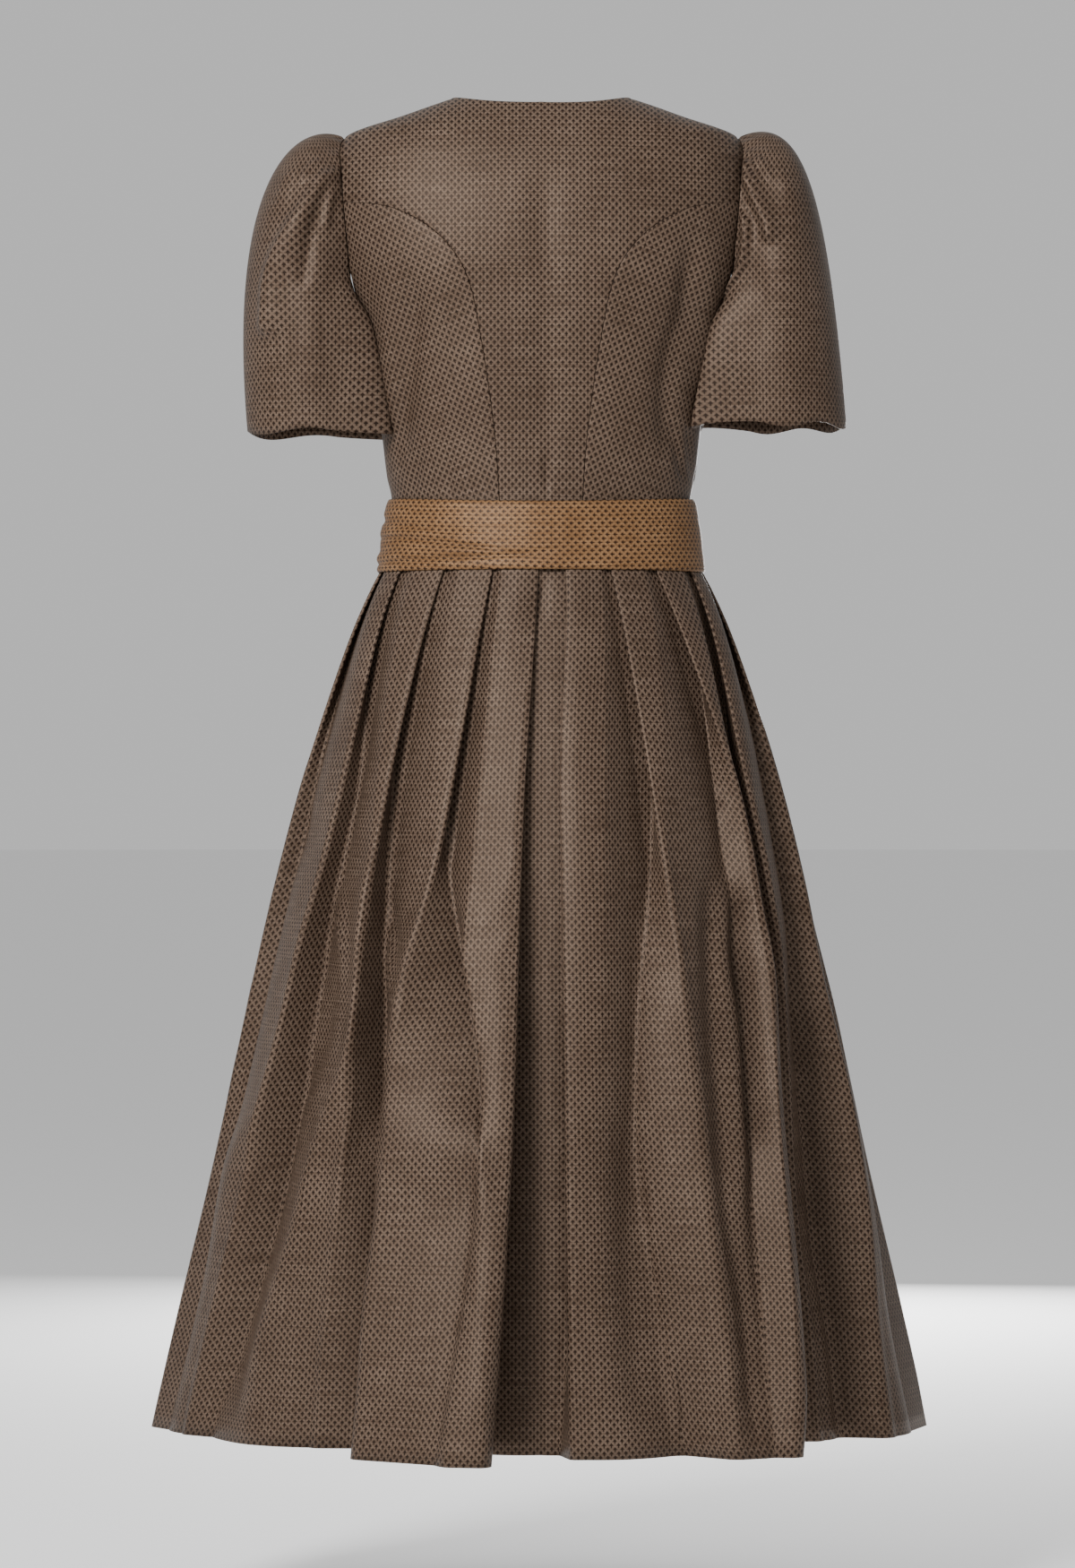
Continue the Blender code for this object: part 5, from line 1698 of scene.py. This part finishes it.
SKIRT_FOLDS: dict[Face, tuple[Fold, ...]] = {
    Face.BACK: (
        Fold(
            ((176.3, -650.2), (186.5, -696.7), (206.4, -763.3), (222.8, -843.2), (246.3, -914.0),
             (274.0, -968.5), (294.7, -1032.9), (308.3, -1090.0)),
            7.5, 13.6, 8.5, 135.0,
        ),
        Fold(
            ((190.7, -750.2), (190.1, -797.7), (196.8, -853.1), (221.7, -915.5), (233.3, -974.8),
             (244.2, -1026.9), (261.5, -1091.0), (277.1, -1154.1), (286.0, -1240.0)),
            -9.0, 12.0, 9.0, 105.0,
        ),
        Fold(((201.3, -630.1), (209.7, -678.6), (219.0, -727.0)), -6.4, 9.0, 9.0, 60.0),
        Fold(((180.6, -698.3), (178.3, -749.9), (175.2, -805.2)), 5.8, 3.8, 3.8, 52.5),
        Fold(
            ((142.7, -636.4), (148.8, -683.6), (158.8, -739.3), (160.5, -815.1), (168.1, -860.8),
             (185.5, -913.7), (202.8, -965.9), (216.0, -1024.8), (234.1, -1080.8), (248.9, -1135.7),
             (261.6, -1236.8)),
            7.5, 7.6, 7.6, 120.0,
        ),
        Fold(
            ((148.1, -757.3), (141.1, -814.7), (144.5, -892.9), (151.7, -990.0), (157.7, -1037.9),
             (165.9, -1099.5)),
            -9.0, 10.0, 7.0, 90.0,
        ),
        Fold(((140.3, -713.7), (132.6, -778.4), (131.3, -835.6)), 7.0, 3.4, 3.4, 52.5),
        Fold(
            ((173.3, -914.8), (170.4, -969.1), (171.3, -1038.5), (181.7, -1115.6), (190.3, -1230.3)),
            7.5, 9.3, 9.3, 90.0,
        ),
        Fold(((78.1, -649.9), (76.3, -681.6), (80.9, -717.2)), -5.5, 4.0, 4.0, 50.0),
        Fold(
            ((82.5, -725.1), (77.4, -788.0), (66.0, -881.4), (54.0, -958.6), (47.5, -1035.2),
             (48.1, -1111.3), (52.5, -1232.5)),
            7.5, 7.6, 5.1, 75.0,
        ),
        Fold(
            ((95.4, -705.5), (111.0, -756.9), (122.0, -797.9), (124.8, -851.1), (123.5, -928.9)),
            7.5, 10.2, 11.9, 90.0,
        ),
        Fold(((143.6, -709.8), (131.9, -757.1), (128.4, -800.3)), -7.4, 6.0, 6.0, 50.0),
        Fold(((90.0, -780.0), (84.0, -928.1), (81.3, -1005.1), (84.1, -1081.5)), -7.4, 9.0, 9.0, 90.0),
        Fold(((106.0, -780.0), (99.0, -928.4), (96.9, -1020.7), (101.2, -1112.3)), 7.0, 8.5, 8.5, 90.0),
        Fold(
            ((-101.8, -705.5), (-95.1, -756.7), (-91.5, -828.8), (-92.1, -865.4), (-96.4, -970.0),
             (-106.9, -1072.9), (-115.0, -1148.4), (-119.3, -1234.3)),
            7.5, 6.8, 5.5, 75.0,
        ),
        Fold(
            ((-106.4, -725.3), (-105.0, -830.5), (-108.6, -905.3), (-113.0, -970.4), (-119.6, -1051.9)),
            -8.3, 6.0, 8.0, 90.0,
        ),
        Fold(
            ((-114.4, -741.1), (-117.8, -829.1), (-122.9, -905.6), (-128.7, -990.8), (-134.5, -1067.7),
             (-140.1, -1159.2), (-144.4, -1235.4)),
            7.5, 10.2, 10.2, 90.0,
        ),
        Fold(((-160.3, -605.9), (-162.3, -646.1), (-161.9, -682.1)), -7.4, 5.0, 5.0, 50.0),
        Fold(
            ((-171.0, -674.2), (-163.0, -725.9), (-160.9, -773.4), (-164.6, -805.0), (-170.8, -842.8),
             (-174.0, -923.4), (-179.5, -1015.8)),
            7.5, 6.0, 5.1, 75.0,
        ),
        Fold(
            ((-148.7, -686.0), (-151.4, -747.1), (-151.6, -814.1), (-158.0, -908.9), (-164.5, -992.0),
             (-178.9, -1075.7), (-186.2, -1144.8), (-191.9, -1238.2)),
            -9.0, 10.0, 8.0, 90.0,
        ),
        Fold(
            ((-174.5, -726.0), (-177.2, -773.7), (-180.5, -844.7), (-182.3, -902.7), (-188.1, -969.9)),
            -8.3, 5.0, 6.0, 60.0,
        ),
        Fold(
            ((-199.5, -718.5), (-202.1, -774.3), (-203.6, -903.6), (-209.0, -994.2), (-217.6, -1087.2),
             (-224.6, -1171.7), (-228.8, -1241.2)),
            7.5, 8.5, 7.6, 90.0,
        ),
        Fold(
            ((-73.9, -865.9), (-77.5, -958.9), (-79.4, -1073.8), (-86.1, -1157.4), (-89.7, -1233.3)),
            -7.4, 15.0, 12.0, 120.0,
        ),
        Fold(
            ((-227.1, -719.3), (-232.3, -759.5), (-235.5, -847.1), (-238.9, -941.7), (-247.2, -1043.4),
             (-257.9, -1144.3)),
            -9.0, 12.0, 16.0, 120.0,
        ),
        Fold(
            ((-267.9, -794.5), (-284.4, -893.1), (-301.7, -1012.3), (-319.8, -1130.7)),
            7.5, 15.3, 15.3, 135.0,
        ),
        Fold(((-4.8, -436.5), (0.8, -456.1), (3.2, -485.4)), -4.6, 3.0, 5.0, 16.0),
        Fold(((-41.0, -485.3), (-46.3, -582.1), (-50.7, -709.2), (-53.5, -834.6)), 3.5, 17.0, 17.0, 135.0),
    ),
    Face.FRONT: (
        Fold(
            ((188.7, -560.0), (213.0, -640.0), (249.8, -800.0), (280.2, -960.0), (334.5, -1240.0)),
            5.6, 8.0, 9.0, 80.0,
        ),
        Fold(((202.9, -640.0), (241.1, -800.0), (279.0, -1000.0), (322.6, -1240.0)), -9.7, 9.0, 9.0, 90.0),
        Fold(((206.2, -700.0), (243.2, -900.0), (282.0, -1100.0), (305.2, -1240.0)), 8.9, 9.0, 8.0, 80.0),
        Fold(((152.3, -560.0), (189.1, -720.0), (233.5, -960.0), (280.5, -1240.0)), 6.4, 8.0, 8.0, 80.0),
        Fold(
            ((161.7, -680.0), (191.3, -860.0), (222.6, -1040.0), (251.7, -1240.0)),
            -10.5, 9.0, 10.0, 90.0,
        ),
        Fold(((149.4, -740.0), (177.3, -920.0), (207.0, -1100.0), (224.0, -1240.0)), 8.9, 9.0, 7.0, 80.0),
        Fold(((89.6, -560.0), (112.4, -720.0), (143.7, -960.0), (183.4, -1240.0)), 6.4, 8.0, 8.0, 80.0),
        Fold(((81.5, -660.0), (100.9, -860.0), (117.9, -1040.0), (139.1, -1240.0)), -9.7, 10.0, 10.0, 90.0),
        Fold(((61.2, -760.0), (65.7, -940.0), (71.2, -1100.0), (74.0, -1240.0)), 7.2, 11.0, 10.0, 90.0),
        Fold(((15.1, -620.0), (9.3, -820.0), (8.1, -1020.0), (12.4, -1240.0)), -8.0, 12.0, 14.0, 110.0),
        Fold(((-61.0, -560.0), (-65.4, -760.0), (-62.5, -980.0), (-67.9, -1240.0)), 8.0, 12.0, 10.0, 110.0),
        Fold(((-85.0, -560.0), (-118.7, -760.0), (-148.2, -960.0), (-188.7, -1240.0)), 6.4, 8.0, 8.0, 80.0),
        Fold(
            ((-130.5, -660.0), (-169.5, -860.0), (-206.5, -1040.0), (-238.2, -1240.0)),
            -11.3, 10.0, 9.0, 90.0,
        ),
        Fold(
            ((-175.5, -780.0), (-213.7, -940.0), (-252.0, -1100.0), (-276.7, -1240.0)),
            8.0, 8.0, 9.0, 80.0,
        ),
        Fold(
            ((-151.2, -560.0), (-190.5, -720.0), (-239.8, -960.0), (-298.6, -1240.0)),
            5.6, 7.0, 8.0, 80.0,
        ),
        Fold(
            ((-195.0, -660.0), (-243.2, -860.0), (-285.3, -1040.0), (-327.7, -1240.0)),
            -10.5, 9.0, 9.0, 90.0,
        ),
        Fold(
            ((-234.4, -760.0), (-277.9, -940.0), (-316.2, -1100.0), (-345.4, -1240.0)),
            8.9, 8.0, 9.0, 80.0,
        ),
        Fold(
            ((-188.7, -560.0), (-237.1, -720.0), (-292.7, -960.0), (-354.6, -1240.0)),
            4.8, 7.0, 8.0, 80.0,
        ),
    ),
}


# ---------------------------------------------------------------- belt
class Crease(NamedTuple):
    """A lengthwise crease of the sash at the back; its line runs from the wearer's left."""

    line: tuple[tuple[float, float], ...]
    rise: float
    width: float
    fade: float


class Groove(NamedTuple):
    """A crease or ridge all round the sash; wander is how much it shares of the common one."""

    height: float
    wander: float
    width: float
    rise: float


class Wrap(NamedTuple):
    """A wave over the knot: how often it comes up it and across it, and how high it is."""

    up: float
    across: float
    rise: float


class SashEnd(NamedTuple):
    """A hanging end: degrees round at its top, its drift round, length, lift and soft folds' start."""

    name: str
    turn: float
    lean: float
    length: float
    lift: float
    start: float


BELT_CREASES = (
    Crease(((146.0, -425.0), (79.5, -422.4), (18.6, -419.9), (-22.4, -414.6)), -2.0, 1.7, 50.0),
    Crease(((146.0, -418.0), (79.5, -416.4), (18.6, -413.9), (-22.4, -409.6)), 1.1, 3.2, 50.0),
    Crease(((146.0, -401.0), (110.0, -405.0), (79.5, -409.6), (13.4, -418.3)), -2.4, 2.0, 40.0),
    Crease(((146.0, -395.0), (110.0, -398.0), (79.5, -403.6)), 1.0, 3.0, 30.0),
    Crease(((146.0, -386.7), (110.0, -394.3), (79.5, -399.4), (50.0, -402.0)), -1.7, 2.4, 34.0),
    Crease(((146.0, -368.0), (105.0, -379.0), (84.0, -384.0)), -1.4, 2.2, 24.0),
    Crease(((-40.0, -396.0), (-100.0, -392.0), (-146.0, -390.0)), -0.5, 6.0, 30.0),
)
SASH_GROOVES = (
    Groove(-398.0, 1.0, 6.0, 0.55),
    Groove(-422.0, -1.0, 4.5, 0.55),
    Groove(-383.5, 1.0, 3.6, -0.8),
    Groove(-411.0, 0.6, 4.2, -0.65),
)
KNOT_WRAPS = (Wrap(0.42, 0.09, 0.9), Wrap(0.9, -0.12, 0.35))
SASH_ENDS = (
    SashEnd("upper", turn=127.0, lean=-5.0, length=236.0, lift=7.6, start=0.4),
    SashEnd("lower", turn=137.0, lean=5.0, length=274.0, lift=4.2, start=2.1),
)


@dataclass
class Belt:
    """The sash: its band, its knot and its two hanging ends.

    Turns are in degrees round from the centre back, towards the wearer's left. Counts that
    come of a soft fold are in waves to a radian, or to the width or length of an end.
    """

    wardrobe: Wardrobe
    columns: int = 360
    rows: int = 44
    wall: float = 1.4
    join_turn: float = 11.0
    back_sag: float = 5.0
    back_fade: float = 4.0
    back_at_side: float = 0.6
    rim_sink: float = 1.3
    rim_width: float = 1.6
    slow_wander: Wave = Wave(2.0, 2.5, 0.6)
    quick_wander: Wave = Wave(5.0, 1.2)
    groove_depth: float = 0.25
    groove_depth_at_knot: float = 2.0
    fine_rise: float = 0.45
    fine_along: float = 0.62
    fine_round: float = 0.05
    knot_turn: float = 131.0
    knot_reach: float = 62.0
    knot_size: tuple[float, float, float] = (17.0, 13.0, 25.0)
    knot_segments: int = 96
    knot_rings: int = 64
    knot_bulge: float = 0.1
    knot_bulge_ends: float = 3.0
    knot_back: float = 0.45
    knot_least_lift: float = 0.5
    knot_rest: float = 0.6
    knot_wrap_fade: float = 1.6
    knot_degree: float = 2.1
    knot_grain: float = 0.7
    end_top: float = -436.0
    end_width: float = 60.0
    end_top_width: float = 30.0
    end_spread: float = 3.0
    end_spread_power: float = 0.8
    end_rows: int = 72
    end_columns: int = 28
    end_softness: float = 0.6
    end_fold_start: float = 4.0
    end_across: Wave = Wave(9.0, 1.3)
    end_drift: float = 2.0
    end_down: Wave = Wave(9.0, 0.8)
    end_gathers: Wave = Wave(26.0, 2.0)
    end_gather_reach: float = 0.35

    def band_grid(self) -> np.ndarray:
        """The band's points, with the creases that run to the knot.

        Returns:
            Rows from the top down, and columns all round.
        """
        turns = np.linspace(-180.0, 180.0, self.columns + 1) + self.join_turn
        share = np.linspace(0.0, 1.0, self.rows + 1)
        top, bottom = BELT_RINGS[0].height, BELT_RINGS[-1].height
        heights = top + (bottom - top) * share
        point, normal = outline_points(BELT_RINGS, np.tile(turns, (len(heights), 1)), heights)
        back = clamped(np.cos(np.radians(turns))) ** 2
        level = heights[:, None] - (1.0 - share)[:, None] * back[None] * self.back_sag
        lift = self.grooves(turns, level) + self.back_creases(turns, point[..., 0], level)
        rim = np.minimum(share, 1.0 - share)[:, None] * (top - bottom)
        plan = point + normal * (lift - self.rim_sink * bell(rim, self.rim_width))[..., None]
        grid = np.concatenate([plan, level[..., None]], axis=-1)
        grid[:, -1] = grid[:, 0]
        return grid

    def back_creases(self, turns: np.ndarray, out: np.ndarray, level: np.ndarray) -> np.ndarray:
        """The creases that show at the back.

        Args:
            turns: one for each column.
            out: how far out each point lies, plus towards the wearer's left.
            level: each point's height.

        Returns:
            The lift of each point.
        """
        total = np.zeros(level.shape)
        for crease in BELT_CREASES:
            outs, heights = np.array(crease.line)[::-1].T
            inside = clamped((out - outs[0]) / crease.fade)
            total += crease.rise * inside * bell(level - np.interp(out, outs, heights), crease.width)
        return total * clamped(np.cos(np.radians(turns)) * self.back_fade + self.back_at_side)

    def grooves(self, turns: np.ndarray, level: np.ndarray) -> np.ndarray:
        """Lengthwise creases of the band, deeper towards the knot.

        Args:
            turns: one for each column.
            level: each point's height.

        Returns:
            The lift of each point.
        """
        around = np.radians(turns)
        towards = bell((turns - self.knot_turn + 180.0) % 360.0 - 180.0, self.knot_reach)
        wander = self.slow_wander.at(around) + self.quick_wander.at(around)
        grooves = sum(
            groove.rise * bell(level - groove.height - groove.wander * wander, groove.width)
            for groove in SASH_GROOVES
        )
        fine = np.sin((level + wander) * self.fine_along + turns * self.fine_round)
        depth = self.groove_depth + self.groove_depth_at_knot * towards
        return depth * grooves + self.fine_rise * towards * fine

    def build(self) -> None:
        """Make and finish the four pieces of the sash."""
        self.build_band()
        self.build_knot()
        for end in SASH_ENDS:
            self.build_end(end)

    def build_band(self) -> None:
        """The band round the waist."""
        grid = self.band_grid()
        across = np.broadcast_to(lengths_along(grid[self.rows // 2]), grid.shape[:2])
        along = np.stack([-lengths_along(grid[:, column]) for column in range(grid.shape[1])], axis=1)
        cloth = np.stack([across, along], axis=-1)
        piece = Sheet("belt_band_cloth", grid, uv=cloth, closed=True, wall=self.wall).build()
        area, length = grid_area(grid), float(np.ptp(along))
        self.wardrobe.finish(piece, "belt_band", (area / length, length), area, "folded")

    def build_knot(self) -> None:
        """The knot: the sash wrapped once over itself, as a full pad with wrap folds."""
        bpy.ops.object.select_all(action="DESELECT")
        bpy.ops.mesh.primitive_uv_sphere_add(
            segments=self.knot_segments, ring_count=self.knot_rings, radius=1.0,
        )
        piece = bpy.context.object
        piece.name = piece.data.name = "belt_knot_cloth"
        ball = np.zeros(len(piece.data.vertices) * 3)
        piece.data.vertices.foreach_get("co", ball)
        ball = ball.reshape(-1, 3)
        across, out, up = (ball[:, axis] * self.knot_size[axis] for axis in range(3))
        across = across * (1.0 + self.knot_bulge * np.cos(ball[:, 2] * self.knot_bulge_ends))
        wraps = sum(wrap.rise * np.sin(up * wrap.up + across * wrap.across) for wrap in KNOT_WRAPS)
        lift = np.maximum(out + self.knot_back * self.knot_size[1], self.knot_least_lift)
        lift = lift + wraps * clamped(ball[:, 1] * self.knot_wrap_fade)
        turn = self.knot_turn + across / self.knot_degree
        plan, normal = outline_points(BELT_RINGS, turn[:, None], WAIST + up)
        plan = plan[:, 0] + normal[:, 0] * (lift + self.knot_rest)[:, None]
        points = np.column_stack([plan, WAIST + up + ORIGIN_DROP]) * MM
        piece.data.vertices.foreach_set("co", points.reshape(-1))
        piece.data.update()
        piece.data.uv_layers[0].name = "cloth"
        cloth = np.stack([across + out * self.knot_grain, up], axis=1)
        write_uv(piece.data, cloth[corners_of(piece.data)])
        piece.data.shade_smooth()
        self.wardrobe.place(piece, "belt_knot")

    def build_end(self, end: SashEnd) -> None:
        """Make and finish one hanging end of the sash.

        Args:
            end: how it hangs.
        """
        down = np.linspace(0.0, 1.0, self.end_rows + 1)[:, None]
        over = np.linspace(-0.5, 0.5, self.end_columns + 1)[None]
        heights = self.end_top - end.length * down[:, 0]
        broadening = clamped(down * self.end_spread) ** self.end_spread_power
        width = self.end_top_width + (self.end_width - self.end_top_width) * broadening
        size = read(SKIRT_OUTLINE, "half_width", heights)[:, None]
        turns = end.turn + end.lean * down + np.degrees(over * width / size)
        point, normal = outline_points(SKIRT_OUTLINE, turns, heights)
        soft = self.end_across.at(over + (end.start + self.end_drift * down) / self.end_across.times)
        soft = soft + self.end_down._replace(start=end.start).at(down)
        gathers = bell(down, self.end_gather_reach) * self.end_gathers._replace(start=end.start).at(over)
        rise = end.lift + (soft * clamped(down * self.end_fold_start) + gathers) * self.end_softness
        plan = point + normal * rise[..., None]
        level = np.broadcast_to(heights[:, None], rise.shape)
        grid = np.concatenate([plan, level[..., None]], axis=-1)
        along = -np.stack([lengths_along(grid[:, column]) for column in range(grid.shape[1])], axis=1)
        across = np.broadcast_to(over * self.end_width, along.shape)
        node = f"belt_end_{end.name}"
        piece = Sheet(f"{node}_cloth", grid, uv=np.stack([along, across], axis=-1), wall=self.wall).build()
        self.wardrobe.finish(piece, node, (self.end_width, end.length), grid_area(grid), "hung")


# ---------------------------------------------------------------- studio
class Lamp(NamedTuple):
    """A large soft lamp that looks at the dress, in metres and watts."""

    name: str
    place: tuple[float, float, float]
    size: float
    power: float


LAMPS = (
    Lamp("key", (1.5, 3.1, 1.25), 1.2, 215.0),
    Lamp("front_key", (-0.4, -3.3, -0.35), 1.2, 110.0),
)


@dataclass(frozen=True)
class Studio:
    """A pale floor, soft light from large lamps, and the camera, in metres."""

    camera_height: float = -0.608
    camera_distance: float = 5.2
    camera_out: float = 0.0033
    frame_height: float = 1.435
    sensor_width: float = 36.0
    sight: float = 100.0
    floor_height: float = -1.36
    floor_radius: float = 60.0
    floor_sides: int = 96
    floor_pale: float = 0.9
    floor_roughness: float = 0.9
    sky_strength: float = 0.6

    def build(self) -> None:
        """Place the floor, the lamps, the sky and the camera."""
        self.lay_floor()
        for lamp in LAMPS:
            self.hang(lamp)
        world = bpy.data.worlds.new("studio")
        bpy.context.scene.world = world
        world.use_nodes = True
        background = world.node_tree.nodes["Background"]
        background.inputs["Color"].default_value = (1.0, 1.0, 1.0, 1.0)
        background.inputs["Strength"].default_value = self.sky_strength
        self.set_camera()

    def lay_floor(self) -> None:
        """The wide pale floor."""
        bpy.ops.object.select_all(action="DESELECT")
        bpy.ops.mesh.primitive_circle_add(
            vertices=self.floor_sides, radius=self.floor_radius, fill_type="NGON", location=(0.0, 0.0, 0.0),
        )
        floor = bpy.context.object
        floor.name = "floor"
        floor.data.transform(Matrix.Translation((0.0, 0.0, self.floor_height)))
        bench = NodeBench("floor_pale")
        bench.setting("Base Color", (self.floor_pale, self.floor_pale, self.floor_pale, 1.0))
        bench.setting("Roughness", self.floor_roughness)
        floor.data.materials.append(bench.material)

    def set_camera(self) -> None:
        """The camera, straight behind the dress."""
        data = bpy.data.cameras.new("camera")
        camera = bpy.data.objects.new("camera", data)
        bpy.context.scene.collection.objects.link(camera)
        camera.location = (self.camera_out, self.camera_distance, self.camera_height)
        camera.rotation_euler = (math.radians(90.0), 0.0, math.radians(180.0))
        data.sensor_width = self.sensor_width
        data.lens = data.sensor_width * self.camera_distance / self.frame_height
        data.clip_end = self.sight
        bpy.context.scene.camera = camera

    def hang(self, lamp: Lamp) -> None:
        """Add a lamp.

        Args:
            lamp: its place, size and power.
        """
        data = bpy.data.lights.new(lamp.name, "AREA")
        data.shape = "DISK"
        data.size = lamp.size
        data.energy = lamp.power
        light = bpy.data.objects.new(lamp.name, data)
        bpy.context.scene.collection.objects.link(light)
        light.location = lamp.place
        target = np.array([0.0, 0.0, self.camera_height]) - np.array(lamp.place)
        light.rotation_euler = Vector(target).to_track_quat("-Z", "Y").to_euler()


def main() -> None:
    """Build the dress from its cloth and set up the studio."""
    logging.basicConfig(level=logging.INFO, format="%(message)s")
    wardrobe = Wardrobe()
    Bodice(wardrobe).build()
    Sleeve(
        wardrobe, Side.LEFT, hem_middle=208.4, hem_half_width=60.4, hem_height=-306.0,
        cap_out=35.7, cap_rise=20.5, hem_out=21.4, hem_lift=246.5, waves=4, wave_turn=44.0,
    ).build()
    Sleeve(
        wardrobe, Side.RIGHT, hem_middle=215.8, hem_half_width=63.8, hem_height=-300.0,
        cap_out=59.2, cap_rise=31.6, hem_out=-17.4, hem_lift=212.3, waves=6, wave_turn=84.0,
    ).build()
    Skirt(wardrobe).build()
    Belt(wardrobe).build()
    Studio().build()


if __name__ == "__main__":
    main()
